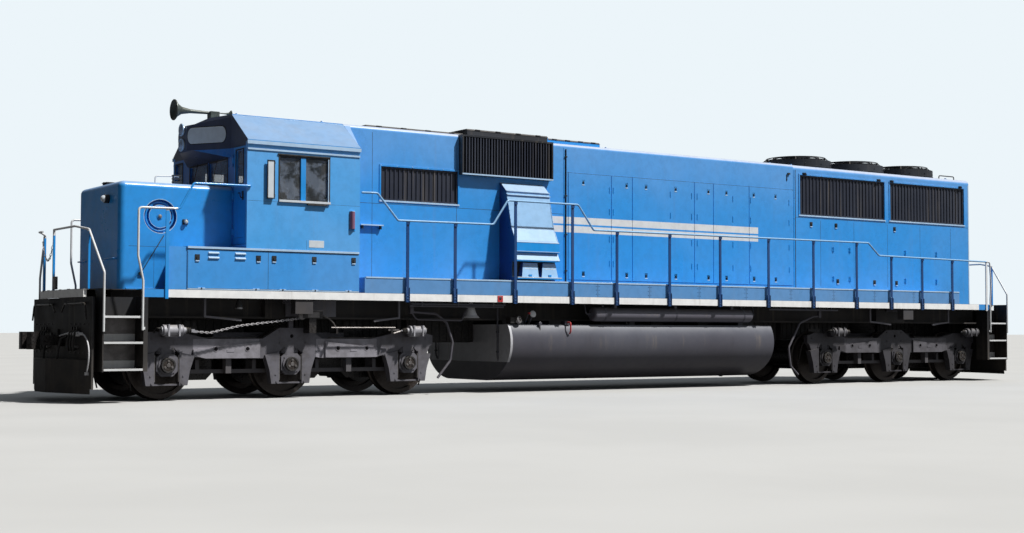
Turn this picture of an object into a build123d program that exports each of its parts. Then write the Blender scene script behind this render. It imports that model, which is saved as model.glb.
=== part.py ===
from build123d import *
import math
import os

os.makedirs("parts", exist_ok=True)

# Six-axle diesel road locomotive with a full-width cab, a low nose and a long hood.
# Millimetres. +X is forward, +Y is to the left, +Z is up.
# The origin is on the floor below the middle of the locomotive, at the wheel flanges' lowest points.

# Wheels
tread_radius = 508.0
flange_depth = 25.0
rail = flange_depth  # height of the rail head above the flange tips
axle_height = rail + tread_radius
axle_radius = 95.0
journal_radius = 85.0
rim_inner_face = 680.0
rim_outer_face = 820.0
rim_bore = 440.0
hub_radius = 160.0
hub_inner_face = 650.0
hub_outer_face = 835.0
web_inner_face = 735.0
web_outer_face = 765.0
journal_shoulder = 1150.0
axle_cap_radius = 110.0
axle_cap_face = 1199.0
turning_clearance = 0.3  # radial clearance of an axle in its bearing

# Running gear, in X from the truck centre, positive towards the locomotive's end
platform_half_length = 10326.0
truck_centre = platform_half_length - 3379.0
axle_offsets = (2073.0, 51.0, -2073.0)

frame_inner = 1000.0
frame_outer = 1100.0
leg_outer = 1130.0
pedestal_half_width = 195.0
leg_bottom = rail + 205.0
box_half_width = 165.0
transoms = ((700.0, 1100.0), (-1180.0, -780.0))
transom_bottom = rail + 640.0
transom_top = rail + 900.0
truck_bolster_top = rail + 1000.0
bowl_radius = 340.0
# traction motors: axle offset, way to the transom, transom face
motor_table = ((2073.0, -1, 1100.0), (51.0, -1, -780.0), (-2073.0, 1, -1180.0))
motor_half_width = 480.0
# cooling air bellows on top of the outer motors: ends in x, and their folds
bellows = ((1250.0, 1600.0), (-1680.0, -1330.0))
bellows_half_width = 260.0
bellows_folds = (rail + 840.0, rail + 930.0, rail + 1010.0, rail + 1090.0, rail + 1175.0)
# brake cylinders: side, ends in x
brake_cylinders = ((1, 1908.0, 2221.0), (1, -2263.0, -1983.0), (-1, 2042.0, 2403.0), (-1, -2050.0, -1715.0))
brake_cylinder_y = 1310.0
brake_cylinder_height = rail + 1030.0
brake_cylinder_radius = 80.0
cylinder_bracket = 95.0
band_half_height = 88.0
band_width = 25.0
push_rod_collar = 48.0
push_rod_length = 150.0
push_rod_radius = 17.0
# hand brake chain on the front truck: x and height of each point of its run
chain_run = ((1700.0, rail + 1012.0), (1476.0, rail + 994.0), (982.0, rail + 1105.0), (26.0, rail + 1215.0))
chain_link = (62.0, 34.0, 11.0)  # length and width of a link, and how thick its bar is
chain_pin_radius = 4.5
eye_half_width = 32.0
eye_half_height = 18.0
eye_plate = 8.0
chain_end_gap = 11.0  # from a pin to the middle of the link that it holds
gear_case_radius = 355.0

# Platform and sills
coupler_face = platform_half_length + 520.0
sill_half_length = 9524.0
deck_half_width = 1513.0
deck_top = rail + 1633.0
deck_thickness = 12.0
deck_underside = deck_top - deck_thickness
sill_depth = 119.0
sill_thickness = 20.0
end_deck_half_width = 1040.0
anticlimber_flat = 600.0
beam_half_gauge = 850.0
beam_flange = 260.0
beam_web = 30.0
beam_bottom = rail + 1215.0
sill_bottom = deck_top - sill_depth
bolster_half_length = 435.0
bolster_half_width = 1000.0
bolster_bottom = rail + 1232.0
centre_plate_radius = 300.0
centre_plate_face = rail + 1100.0
jack_pad_length = 300.0
jack_pad_width = 160.0
jack_pad_centre_y = deck_half_width - 103.0
jack_pad_bottom = rail + 1290.0

# Draft gear and couplers
coupler_height = rail + 876.0
draft_half_width = 230.0
draft_bottom = rail + 700.0
draft_wall = 40.0
pocket_half_width = 150.0
pocket_half_height = 90.0
coupler_pin_x = coupler_face - 846.0
draft_start = coupler_pin_x - 250.0
coupler_pin_radius = 45.0
shank_half_width = 65.0
shank_half_height = 75.0
coupler_head_half_height = 130.0

# Pilots and steps
pilot_x = platform_half_length - 106.0
pilot_thickness = 30.0
pilot_half_width = deck_half_width - 113.0
pilot_bottom = rail + 180.0
plow_bottom = rail + 110.0
plow_top = rail + 600.0
plow_nose_x = pilot_x + 340.0
step_front_x = platform_half_length - 210.0
step_rear_x = sill_half_length + 6.0
step_inner_y = deck_half_width - 333.0
step_side = 18.0
step_tread = 28.0
step_heights = (rail + 472.0, rail + 861.0, rail + 1235.0)
step_well_bottom = rail + 430.0
step_flange = 65.0

# Fuel tank and air reservoirs
tank_front = truck_centre - 3947.0
tank_rear = 3757.0 - truck_centre
tank_top = rail + 1146.0
tank_bottom = rail + 170.0
tank_shoulder_y = 1288.0
tank_widest = (1385.0, rail + 850.0)  # y and height of the side's fullest point
tank_knee = (1217.0, rail + 432.0)
tank_keel_y = 620.0
reservoir_front = 1194.0
reservoir_rear = -2629.0
reservoir_middle = (reservoir_front + reservoir_rear) / 2
reservoir_radius = 128.0
reservoir_y = deck_half_width - 223.0
reservoir_height = rail + 1334.0

# Side cabinets and walkway duct
cabinet_front = 8865.0
cabinet_top = rail + 2281.0
cabinet_half_width = deck_half_width - 23.0
front_panel_x = 9190.0
duct_front = 5880.0
duct_rear = -8585.0
duct_top = rail + 1882.0
duct_outer = deck_half_width - 33.0

# Short nose
nose_front = 9705.0
nose_half_width = 931.0
nose_top = rail + 3259.0
nose_round = 90.0
hand_brake_x = 9075.0
hand_brake_height = rail + 2745.0
hand_brake_radius = 215.0
recess_radius = 258.0
recess_depth = 110.0

# Cab
cab_front = 7928.0
cab_rear = 5988.0
cab_half_width = deck_half_width - 14.0
cab_wall = 60.0
cab_floor_thickness = 60.0
cab_eave = rail + 3929.0
cab_shoulder_y = 900.0
cab_shoulder = rail + 4390.0
cab_ridge = rail + 4440.0
side_window = (6545.0, 7385.0, rail + 3040.0, rail + 3715.0)  # rear x, front x, sill z, head z
windshield_sill = rail + 3300.0
windshield_head = rail + 3700.0
windshields = ((-760.0, -40.0), (40.0, 760.0))  # inner and outer y of each opening
corner_window = (1090.0, 1390.0, rail + 3290.0, rail + 3800.0)  # y, y, sill z, head z
glass_thickness = 8.0
door_inner_y = 1000.0
door_outer_y = 1425.0
door_bottom = cabinet_top + cab_floor_thickness + 8.0
door_top = rail + 3855.0
door_thickness = 45.0
door_gap = 5.0
hinge_radius = 12.0
hinge_offset = hinge_radius + turning_clearance
hinge_axis_y = door_inner_y - 12.0
hinge_half_length = 45.0
hinge_heights = (door_bottom + 200, (door_bottom + door_top) / 2, door_top - 200)
housing_front = 8370.0
housing_nose_half_width = 170.0
housing_half_width = 870.0
housing_bottom = rail + 3865.0
housing_top_front = rail + 4260.0
housing_top_rear = rail + 4350.0
lamp_radius = 88.0
lamp_spacing = 240.0

# Long hood
hood_half_width = 938.0
hood_wall = 40.0
hood_top = rail + 4400.0
hood_round = 70.0
hood_break_1 = 1480.0  # between the air-intake section and the engine section
hood_break_2 = -4175.0  # between the engine section and the radiator section
hood_rear = -9602.0
radiator_top = rail + 4400.0
radiator_round = 100.0
door_seams = (1460.0, 476.0, -18.0, -1539.0, -2024.0, -2962.0, -4155.0)
hood_door_bottom = rail + 1960.0
hood_door_top = rail + 3880.0
door_relief = 10.0
seam_width = 14.0

# Grilles: rear x, front x, sill z, head z, bars, how far the frame stands out of the hood
intake_grille = (3800.0, 5300.0, rail + 3190.0, rail + 3750.0, 16, -10.0)
brake_grille = (1870.0, 3780.0, rail + 3700.0, rail + 4385.0, 15, 120.0)
radiator_grilles = (
    (-6860.0, -4360.0, rail + 3395.0, rail + 4200.0, 24, -10.0),
    (-9430.0, -7035.0, rail + 3395.0, rail + 4200.0, 23, -10.0),
)
grille_frame = 30.0
grille_bar = 26.0

# Roof hatches: rear x, front x, half width, top
roof_hatches = (
    (3600.0, 5500.0, 800.0, rail + 4440.0),
    (1850.0, 3560.0, 860.0, rail + 4520.0),
    (600.0, 1780.0, 760.0, rail + 4500.0),
)

# Blower duct on the left side: y and height of each fold, from the top
duct_folds = (
    (1006.0, rail + 3585.0),
    (1093.0, rail + 3507.0),
    (1147.0, rail + 3460.0),
    (1161.0, rail + 3399.0),
    (1185.0, rail + 3310.0),
    (1296.0, rail + 2839.0),
    (1425.0, rail + 2585.0),
    (1464.0, rail + 2556.0),
    (1470.0, rail + 2400.0),
    (1412.0, rail + 2376.0),
    (duct_outer, rail + 2252.0),
    (duct_outer, rail + 2230.0),
    (1330.0, rail + 2230.0),
    (1330.0, duct_top),
)
blower_duct_top = rail + 3620.0
blower_duct_rear = 2030.0
blower_duct_front = 2940.0
# filter boxes in the foot of the duct: rear x and front x at the top, and at the bottom
filter_boxes = ((2075.0, 2343.0, 2059.0, 2412.0), (2457.0, 2758.0, 2472.0, 2824.0))
filter_top = (1400.0, rail + 2205.0)
filter_foot = (1470.0, rail + 1950.0)
duct_shelf = (2010.0, blower_duct_front, 1505.0, rail + 1925.0, rail + 1957.0)

# Roof fans
fan_centres = (-5200.0, -6800.0, -8400.0)
fan_ring_radius = 730.0
fan_ring_wall = 30.0
fan_ring_top = rail + 4590.0
fan_guard_top = rail + 4690.0
fan_guard_radius = 620.0
hoop_sides = 48
fan_tip_radius = 680.0
fan_hub_radius = 170.0
fan_blades = 8
fan_blade_bottom = radiator_top + 70.0

# Handrails
rail_radius = 17.0
handrail_y = deck_half_width + 33.0
post_width = 50.0
post_depth = 20.0
post_places = (5120.0, 4210.0, 3000.0, 1790.0, 800.0, -430.0, -1670.0, -2920.0, -4140.0, -5370.0,
               -6400.0, -7350.0, -8310.0)
rail_joint_gap = 0.6
corner_rail_x = 9400.0  # where a side rail meets a rear corner's rail
# how far across the end platform each side's rail reaches, measured to its own side
end_rail_reach = {1: -300.0, -1: 880.0}

# Hangers below the sills: x of each bar, and of the foot of its arm
hangers = ((8507.0, 7917.0), (5155.0, 5620.0), (-5989.0, -6601.0), (-8420.0, -7900.0))
hanger_y = 1310.0
hanger_bar = 30.0
hanger_foot = rail + 1224.0
hanger_arm_foot = rail + 1172.0
valve_plate = (6195.0, 7065.0, 1060.0, 1100.0, rail + 1250.0)
# Sand pipes that loop down to the trucks' inner wheels: x and height of each bend
pipe_radius = 21.0
pipe_bend = 110.0
pipe_clamp = 32.0  # half width of the clamp that holds a pipe to the deck
pipe_y = 1200.0
front_loop = ((4860.0, rail + 1343.0), (4386.0, rail + 1316.0), (4176.0, rail + 1172.0),
              (4055.0, rail + 843.0), (4102.0, rail + 530.0), (4346.0, rail + 250.0))
rear_loop = ((-4620.0, rail + 1343.0), (-4450.0, rail + 1337.0), (-4077.0, rail + 1202.0),
             (-3762.0, rail + 709.0), (-3818.0, rail + 349.0), (-4023.0, rail + 182.0))

# Bell and horn
bell_x = 3696.0
bell_y = deck_half_width - 313.0
horn_x = 7850.0
horn_y = -60.0
horn_height = rail + 4530.0


def block(x0, x1, y0, y1, z0, z1):
    """A box between two corners."""
    centre = Pos((x0 + x1) / 2, (y0 + y1) / 2, (z0 + z1) / 2)
    return centre * Box(abs(x1 - x0), abs(y1 - y0), abs(z1 - z0))


def rod_x(x0, x1, y, z, radius):
    """A round bar along X."""
    return Pos((x0 + x1) / 2, y, z) * Rot(0, 90, 0) * Cylinder(radius, abs(x1 - x0))


def rod_y(x, y0, y1, z, radius):
    """A round bar along Y."""
    return Pos(x, (y0 + y1) / 2, z) * Rot(90, 0, 0) * Cylinder(radius, abs(y1 - y0))


def rod_z(x, y, z0, z1, radius):
    """A round bar along Z."""
    return Pos(x, y, (z0 + z1) / 2) * Cylinder(radius, abs(z1 - z0))


def side_plate(points, y0, y1):
    """An outline of x and z pairs, extruded from y0 to y1."""
    face = Plane.XZ.offset(-y1) * make_face(Polyline(*points, close=True))
    return extrude(face, amount=y1 - y0)


def end_plate(points, x0, x1):
    """An outline of y and z pairs, extruded from x0 to x1."""
    face = Plane.YZ.offset(x0) * make_face(Polyline(*points, close=True))
    return extrude(face, amount=x1 - x0)


def flat_plate(points, z0, z1):
    """An outline of x and y pairs, extruded from z0 to z1."""
    face = Plane.XY.offset(z0) * make_face(Polyline(*points, close=True))
    return extrude(face, amount=z1 - z0)


def tube(points, bend_radius, radius=rail_radius):
    """A round rail along straight runs joined by bends."""
    corners = [Vector(*point) for point in points]
    edges = []
    start = corners[0]
    for before, corner, after in zip(corners[:-2], corners[1:-1], corners[2:]):
        inward = (corner - before).normalized()
        outward = (after - corner).normalized()
        half_turn = math.radians(inward.get_angle(outward)) / 2
        setback = bend_radius * math.tan(half_turn)
        inside = (outward - inward).normalized()
        arc_middle = corner + inside * (bend_radius / math.cos(half_turn) - bend_radius)
        arc_end = corner + outward * setback
        edges.append(Line(start, corner - inward * setback))
        edges.append(ThreePointArc(corner - inward * setback, arc_middle, arc_end))
        start = arc_end
    edges.append(Line(start, corners[-1]))
    section = Plane(origin=corners[0], z_dir=corners[1] - corners[0]) * Circle(radius)
    return sweep(section, path=Wire(edges))


def symmetric(half):
    """An outline symmetric about x or y = 0, from its positive half."""
    return list(half) + [(-a, b) for a, b in reversed(half)]


def symmetric_y(half):
    """An open outline symmetric about y = 0, from its positive half."""
    return list(half) + [(a, -b) for a, b in reversed(half)]


def save(name, *shapes):
    """Write the solids of one sub-part."""
    solids = [solid for shape in shapes for solid in shape.solids()]
    export_step(Compound(solids), f"parts/{name}.step")


def fuse(shapes):
    """Join shapes into one."""
    joined = shapes[0]
    for shape in shapes[1:]:
        joined = joined + shape
    return joined


# Underframe: deck, side sills, two deep beams, bolsters and draft pockets
def underframe():
    plan_half = (
        (platform_half_length, anticlimber_flat),
        (platform_half_length - 60, end_deck_half_width),
        (step_front_x, end_deck_half_width + 100),
        (step_front_x, step_inner_y),
        (sill_half_length, step_inner_y),
        (sill_half_length, deck_half_width),
    )
    quarter = [(x, y) for x, y in plan_half]
    left = quarter + [(-x, y) for x, y in reversed(quarter)]
    plan = left + [(x, -y) for x, y in reversed(left)]
    deck = flat_plate(plan, deck_underside, deck_top)
    pieces = [deck]
    for side in (-1, 1):
        outer = side * deck_half_width
        inner = side * (deck_half_width - sill_thickness)
        pieces.append(block(-sill_half_length, sill_half_length, inner, outer, sill_bottom, deck_top))
        web_y = side * beam_half_gauge
        pieces.append(block(-draft_start - 50, draft_start + 50, web_y - beam_web / 2, web_y + beam_web / 2,
                            beam_bottom, deck_underside))
        pieces.append(block(-draft_start - 50, draft_start + 50, web_y - beam_flange / 2,
                            web_y + beam_flange / 2, beam_bottom, beam_bottom + 30))
    for end in (-1, 1):
        front_edge = symmetric_y([(platform_half_length - 60, end_deck_half_width),
                                  (platform_half_length, anticlimber_flat)])
        back_edge = symmetric_y([(platform_half_length - 110, end_deck_half_width),
                                 (platform_half_length - 50, anticlimber_flat)])
        band = flat_plate([(end * x, y) for x, y in front_edge + back_edge[::-1]], sill_bottom, deck_top)
        pieces.append(band)
        centre = end * truck_centre
        pieces.append(block(centre - bolster_half_length, centre + bolster_half_length,
                            -bolster_half_width, bolster_half_width, bolster_bottom, deck_underside))
        pieces.append(rod_z(centre, 0, centre_plate_face, bolster_bottom + 10, centre_plate_radius))
        for side in (-1, 1):
            pieces.append(block(centre - jack_pad_length / 2, centre + jack_pad_length / 2,
                                side * (jack_pad_centre_y - jack_pad_width / 2),
                                side * (jack_pad_centre_y + jack_pad_width / 2),
                                jack_pad_bottom, sill_bottom + 60))
            pieces.append(block(centre - jack_pad_length / 2, centre + jack_pad_length / 2,
                                side * (bolster_half_width - 5), side * jack_pad_centre_y,
                                sill_bottom - 60, deck_underside))
    for side in (-1, 1):
        x0, x1, inner, outer, z0 = valve_plate
        pieces.append(block(x0, x1, side * inner, side * outer, z0, deck_underside + 1))
        for x, foot_x in hangers:
            y0, y1 = side * hanger_y - hanger_bar / 2, side * hanger_y + hanger_bar / 2
            pieces.append(block(x - hanger_bar / 2, x + hanger_bar / 2, y0, y1, hanger_foot,
                                deck_underside + 1))
            arm = [(x, hanger_foot), (foot_x, hanger_arm_foot)]
            arm += [(foot_x, hanger_arm_foot + hanger_bar), (x, hanger_foot + hanger_bar)]
            pieces.append(side_plate(arm, y0, y1))
    return fuse(pieces)


def sand_pipes():
    """A pipe at each truck's inner end that loops down to the wheel, with the clamp that holds it."""
    shapes = []
    for run in (front_loop, rear_loop):
        for side in (-1, 1):
            pipe = tube([(x, side * pipe_y, z) for x, z in run], pipe_bend, pipe_radius)
            x, z = run[0]
            clamp = block(x - pipe_clamp, x + pipe_clamp, side * (pipe_y - pipe_clamp),
                          side * (pipe_y + pipe_clamp), z - pipe_clamp, deck_underside)
            shapes.append(pipe + clamp)
    return shapes


def draft_box(end):
    """The pocket that holds a coupler's shank, with its pin."""
    box = block(end * draft_start, end * pilot_x, -draft_half_width, draft_half_width,
                draft_bottom, deck_underside)
    pocket = block(end * (draft_start + draft_wall), end * (pilot_x + 1), -pocket_half_width,
                   pocket_half_width,
                   coupler_height - pocket_half_height, coupler_height + pocket_half_height)
    pin = rod_z(end * coupler_pin_x, 0, draft_bottom + 20, coupler_height + pocket_half_height + 20,
                coupler_pin_radius)
    return box - pocket + pin


# Pilot: end plate with its coupler opening, draft box, plow and the two step wells
def pilot(end):
    plate = block(end * pilot_x, end * (pilot_x + pilot_thickness), -pilot_half_width, pilot_half_width,
                  pilot_bottom, sill_bottom)
    opening = block(end * (pilot_x - 1), end * (pilot_x + pilot_thickness + 1),
                    draft_wall - draft_half_width, draft_half_width - draft_wall,
                    coupler_height - pocket_half_height, coupler_height + 170)
    plow_x = pilot_x + pilot_thickness
    outline = [(plow_x, -pilot_half_width + 60), (plow_nose_x, -260), (plow_nose_x, 260),
               (plow_x, pilot_half_width - 60), (plow_x, pilot_half_width - 90),
               (plow_nose_x - 25, 245), (plow_nose_x - 25, -245), (plow_x, -pilot_half_width + 90)]
    plow = flat_plate([(end * x, y) for x, y in outline], plow_bottom, plow_top)
    shelf = flat_plate([(end * x, y) for x, y in outline[:4]], plow_top - 12, plow_top)
    pieces = [plate - opening, draft_box(end), plow, shelf]
    for side in (-1, 1):
        inner = side * step_inner_y
        outer = side * deck_half_width
        well = [
            block(end * step_rear_x, end * (step_rear_x - step_side), inner, outer,
                  step_well_bottom, sill_bottom),
            block(end * step_front_x, end * (step_front_x + step_side), inner, outer,
                  step_well_bottom, sill_bottom + sill_depth),
            block(end * step_rear_x, end * step_front_x, inner, inner + side * step_side,
                  step_well_bottom, sill_bottom),
        ]
        for height in step_heights:
            well.append(block(end * step_rear_x, end * step_front_x, inner, outer,
                              height - step_tread, height))
        well.append(block(end * (step_rear_x - step_flange), end * step_rear_x,
                          outer - side * step_side, outer, step_well_bottom, sill_bottom))
        pieces += well
        pieces.append(block(end * (step_front_x + step_side), end * pilot_x,
                            inner, inner + side * step_side, pilot_bottom + 250, sill_bottom))
    return fuse(pieces)


# Coupler: shank with its pin hole, head, guard arm and closed knuckle, in plan
def coupler(end):
    # distance behind the coupling face, and distance to the left
    head = [
        (-260.0, 65.0), (-196.0, 120.0), (-140.0, 235.0), (-45.0, 300.0), (-5.0, 265.0), (-65.0, 165.0),
        (-115.0, 90.0), (-130.0, 0.0), (-105.0, -30.0), (-20.0, -5.0), (0.0, -35.0), (0.0, -110.0),
        (-60.0, -170.0), (-150.0, -200.0), (-220.0, -130.0), (-260.0, -65.0),
    ]
    plan = [(end * (coupler_face + x), end * y) for x, y in head]
    body = flat_plate(plan, coupler_height - coupler_head_half_height,
                      coupler_height + coupler_head_half_height)
    shank = block(end * (coupler_pin_x - 90), end * (coupler_face - 250), -shank_half_width, shank_half_width,
                  coupler_height - shank_half_height, coupler_height + shank_half_height)
    hole = rod_z(end * coupler_pin_x, 0, coupler_height - 200, coupler_height + 200,
                 coupler_pin_radius + turning_clearance)
    return body + shank - hole


# Fuel tank with bulging sides that curve in to a narrower flat bottom
def fuel_tank():
    bulge = ThreePointArc((tank_shoulder_y, tank_top), tank_widest, tank_knee)
    turn = TangentArc(tank_knee, (tank_keel_y, tank_bottom), tangent=bulge % 1)
    half = [Line((0, tank_top), (tank_shoulder_y, tank_top)), bulge, turn,
            Line((tank_keel_y, tank_bottom), (0, tank_bottom))]
    section = make_face(half + [mirror(edge, about=Plane.YZ) for edge in half])
    tank = extrude(Plane.YZ.offset(tank_rear) * section, amount=tank_front - tank_rear)
    hangers = [block(x - 60, x + 60, side * 740, side * 960, tank_top - 1, beam_bottom)
               for x in (2500.0, 0.0, -2700.0) for side in (-1, 1)]
    return fuse([tank] + hangers)


def air_reservoirs():
    shapes = []
    for side in (-1, 1):
        drum = rod_x(reservoir_rear, reservoir_front, side * reservoir_y, reservoir_height, reservoir_radius)
        drum = fillet(drum.edges(), 45)
        straps = [block(x - 30, x + 30, side * (reservoir_y - 60), side * (reservoir_y + 60),
                        reservoir_height + 60, sill_bottom + sill_depth - deck_thickness)
                  for x in (reservoir_front - 500, reservoir_middle, reservoir_rear + 500)]
        shapes.append(fuse([drum] + straps))
    return shapes


# Battery boxes beside the nose and below the cab, the panel ahead of them, and the walkway duct
def side_cabinets():
    shapes = []
    for side in (-1, 1):
        box = block(cab_rear, cabinet_front, side * nose_half_width, side * cabinet_half_width,
                    deck_top, cabinet_top - 22)
        lid = block(cab_rear, cabinet_front + 8, side * nose_half_width, side * (cabinet_half_width + 9),
                    cabinet_top - 22, cabinet_top)
        panel = block(cabinet_front, front_panel_x, side * (cabinet_half_width - 40),
                      side * (cabinet_half_width - 10),
                      deck_top, cabinet_top - 10)
        shapes.append(fuse([box, lid, panel]))
    shapes.append(block(duct_rear, duct_front, hood_half_width, duct_outer, deck_top, duct_top))
    lower = block(cab_rear - 560, cab_rear, -cabinet_half_width, -hood_half_width, deck_top, deck_top + 240)
    upper = block(cab_rear - 280, cab_rear, -cabinet_half_width, -hood_half_width, deck_top + 240,
                  deck_top + 480)
    shapes.append(lower + upper)
    return shapes


def nose():
    body = block(cab_front, nose_front, -nose_half_width, nose_half_width, deck_top, nose_top)
    front_edges = body.faces().sort_by(Axis.X)[-1].edges()
    rounded = [edge for edge in front_edges if edge.center().Z > deck_top + 10]
    top_sides = [edge for edge in body.edges().filter_by(Axis.X) if edge.center().Z > deck_top + 10]
    body = fillet(rounded + top_sides, nose_round)
    recess = rod_y(hand_brake_x, nose_half_width - recess_depth, nose_half_width + 1, hand_brake_height,
                   recess_radius)
    shaft = rod_y(hand_brake_x, nose_half_width - recess_depth - 5, nose_half_width - 70,
                  hand_brake_height, 25)
    return body - recess + shaft


def hand_brake():
    """The hand brake's wheel: rim, five spokes and hub, on its shaft."""
    rim_section = Plane.XZ * Pos(hand_brake_radius, 0) * RegularPolygon(14, 10)
    middle = Pos(hand_brake_x, nose_half_width - 45, hand_brake_height)
    rim = middle * Rot(90, 0, 0) * revolve(rim_section, axis=Axis.Z)
    hub = rod_y(hand_brake_x, nose_half_width - 70, nose_half_width - 15, hand_brake_height, 45)
    pieces = [rim, hub]
    for number in range(5):
        spoke = Box(hand_brake_radius - 20, 12, 26)
        spoke = Rot(0, number * 72.0 + 20, 0) * Pos(hand_brake_radius / 2 + 5, 0, 0) * spoke
        pieces.append(middle * spoke)
    return fuse(pieces)


# Cab
def cab_floor():
    base = block(cab_rear, cab_front, -nose_half_width + 1, nose_half_width - 1, deck_top, cabinet_top)
    floor = block(cab_rear, cab_front, -cab_half_width, cab_half_width, cabinet_top,
                  cabinet_top + cab_floor_thickness)
    return base + floor


def cab_side(side):
    wall = block(cab_rear, cab_front, side * (cab_half_width - cab_wall), side * cab_half_width,
                 cabinet_top + cab_floor_thickness, cab_eave - cab_wall * 0.3)
    rear_x, front_x, sill_z, head_z = side_window
    window = block(rear_x, front_x, side * (cab_half_width - cab_wall - 1), side * (cab_half_width + 1),
                   sill_z, head_z)
    return wall - window


def cab_end_outline():
    """Outline of the front and rear walls, between the side walls and below the roof."""
    return symmetric((
        (cab_half_width - cab_wall, cabinet_top + cab_floor_thickness),
        (cab_half_width - cab_wall, cab_eave - cab_wall * 0.3),
        (cab_shoulder_y - cab_wall * 0.3, cab_shoulder - cab_wall),
        (0.01, cab_ridge - cab_wall),
    ))


def door_opening(x0, x1, side):
    return block(x0, x1, side * (door_inner_y - door_gap), side * (door_outer_y + door_gap),
                 door_bottom - door_gap, door_top + door_gap)


def hinge_barrels(end, side, on_door):
    """The barrels of a door's three hinges with their leaves: the door's or the wall's share."""
    face = cab_front if end == 1 else cab_rear
    x = face + end * hinge_offset
    y = side * hinge_axis_y
    pieces = []
    for height in hinge_heights:
        if on_door:
            spans = [(height - hinge_half_length, height + hinge_half_length, 1)]
        else:
            low = height - hinge_half_length - turning_clearance
            high = height + hinge_half_length + turning_clearance
            spans = [(low - hinge_half_length, low, -1), (high, high + hinge_half_length, -1)]
        for z0, z1, way in spans:
            pieces.append(rod_z(x, y, z0, z1, hinge_radius))
            pieces.append(block(face, x, y, y + side * way * 30, z0, z1))
    return pieces


def cab_front_wall():
    wall = end_plate(cab_end_outline(), cab_front - cab_wall, cab_front)
    for inner, outer in windshields:
        wall = wall - block(cab_front - cab_wall - 1, cab_front + 1, inner, outer, windshield_sill,
                            windshield_head)
    y0, y1, sill_z, head_z = corner_window
    wall = wall - block(cab_front - cab_wall - 1, cab_front + 1, -y0, -y1, sill_z, head_z)
    wall = wall - door_opening(cab_front - cab_wall - 1, cab_front + 1, 1)
    plan = [(cab_front, housing_half_width), (housing_front, housing_nose_half_width),
            (housing_front, -housing_nose_half_width), (cab_front, -housing_half_width)]
    housing = flat_plate(plan, housing_bottom - 160, housing_top_rear)
    slope_above = side_plate(
        [(cab_front - 1, housing_top_rear), (housing_front + 1, housing_top_front),
         (housing_front + 1, housing_top_rear + 50), (cab_front - 1, housing_top_rear + 50)], -1000, 1000)
    slope_below = side_plate(
        [(cab_front - 1, housing_bottom - 150), (housing_front - 60, housing_bottom),
         (housing_front + 1, housing_bottom), (housing_front + 1, housing_bottom - 200),
         (cab_front - 1, housing_bottom - 200)], -1000, 1000)
    return fuse([wall, housing - slope_above - slope_below] + hinge_barrels(1, 1, False))


def cab_rear_wall():
    wall = end_plate(cab_end_outline(), cab_rear, cab_rear + cab_wall)
    wall = wall - door_opening(cab_rear - 1, cab_rear + cab_wall + 1, -1)
    y0, y1, sill_z, head_z = corner_window
    wall = wall - block(cab_rear - 1, cab_rear + cab_wall + 1, y0, y1, sill_z, head_z)
    return fuse([wall] + hinge_barrels(-1, -1, False))


def cab_roof():
    outer = [(cab_half_width + 18, cab_eave - 18), (cab_half_width + 18, cab_eave + 12),
             (cab_shoulder_y, cab_shoulder), (0.01, cab_ridge)]
    inner = [(cab_half_width - cab_wall, cab_eave - 18),
             (cab_shoulder_y - cab_wall * 0.3, cab_shoulder - cab_wall),
             (0.01, cab_ridge - cab_wall)]
    half = outer + list(reversed(inner))
    left = end_plate(half, cab_rear, cab_front)
    right = mirror(left, about=Plane.XZ)
    return left + right + block(cab_rear, cab_front, -5, 5, cab_ridge - cab_wall + 1, cab_ridge - 1)


def cab_door(end, side):
    """A door at the front (end 1) or rear (end -1) of the cab, hinged beside the nose or hood."""
    face = cab_front if end == 1 else cab_rear
    inside = face - end * door_thickness
    leaf = block(inside, face, side * door_inner_y, side * door_outer_y, door_bottom, door_top)
    y0, y1, sill_z, head_z = corner_window
    leaf = leaf - block(inside - end, face + end, side * y0, side * (y1 - 30), sill_z, head_z)
    return fuse([leaf] + hinge_barrels(end, side, True))


def door_glass(end, side):
    face = cab_front if end == 1 else cab_rear
    middle = face - end * door_thickness / 2
    y0, y1, sill_z, head_z = corner_window
    return block(middle - glass_thickness / 2, middle + glass_thickness / 2, side * y0, side * (y1 - 30),
                 sill_z, head_z)


def cab_glass():
    panes = []
    middle = cab_front - cab_wall / 2
    for inner, outer in windshields:
        panes.append(block(middle - glass_thickness / 2, middle + glass_thickness / 2, inner, outer,
                           windshield_sill, windshield_head))
    y0, y1, sill_z, head_z = corner_window
    panes.append(block(middle - glass_thickness / 2, middle + glass_thickness / 2, -y0, -y1, sill_z, head_z))
    middle = cab_rear + cab_wall / 2
    panes.append(block(middle - glass_thickness / 2, middle + glass_thickness / 2, y0, y1, sill_z, head_z))
    rear_x, front_x, sill_z, head_z = side_window
    for side in (-1, 1):
        y = side * (cab_half_width - cab_wall / 2)
        panes.append(block(rear_x, front_x, y - glass_thickness / 2, y + glass_thickness / 2, sill_z, head_z))
    return panes


def cab_seats():
    floor = cabinet_top + cab_floor_thickness
    seats = []
    # x and y of each seat
    for x, y in ((cab_front - 978, cab_half_width - 549), (cab_front - 1078, 599 - cab_half_width)):
        seat = block(x - 230, x + 230, y - 230, y + 230, floor + 430, floor + 530)
        seat = seat + rod_z(x, y, floor, floor + 440, 60)
        seat = seat + block(x - 260, x - 190, y - 210, y + 210, floor + 500, floor + 1020)
        seats.append(seat)
    return seats


def control_stand():
    floor = cabinet_top + cab_floor_thickness
    back = cab_front - 228
    stand = side_plate([(back - 350, floor), (back - 350, floor + 950), (back - 200, floor + 1100),
                        (back, floor + 1100), (back, floor)], -560, -260)
    electrical = block(cab_rear + cab_wall, cab_rear + 432, -700, 900, floor, floor + 1500)
    return [stand, electrical]


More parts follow.
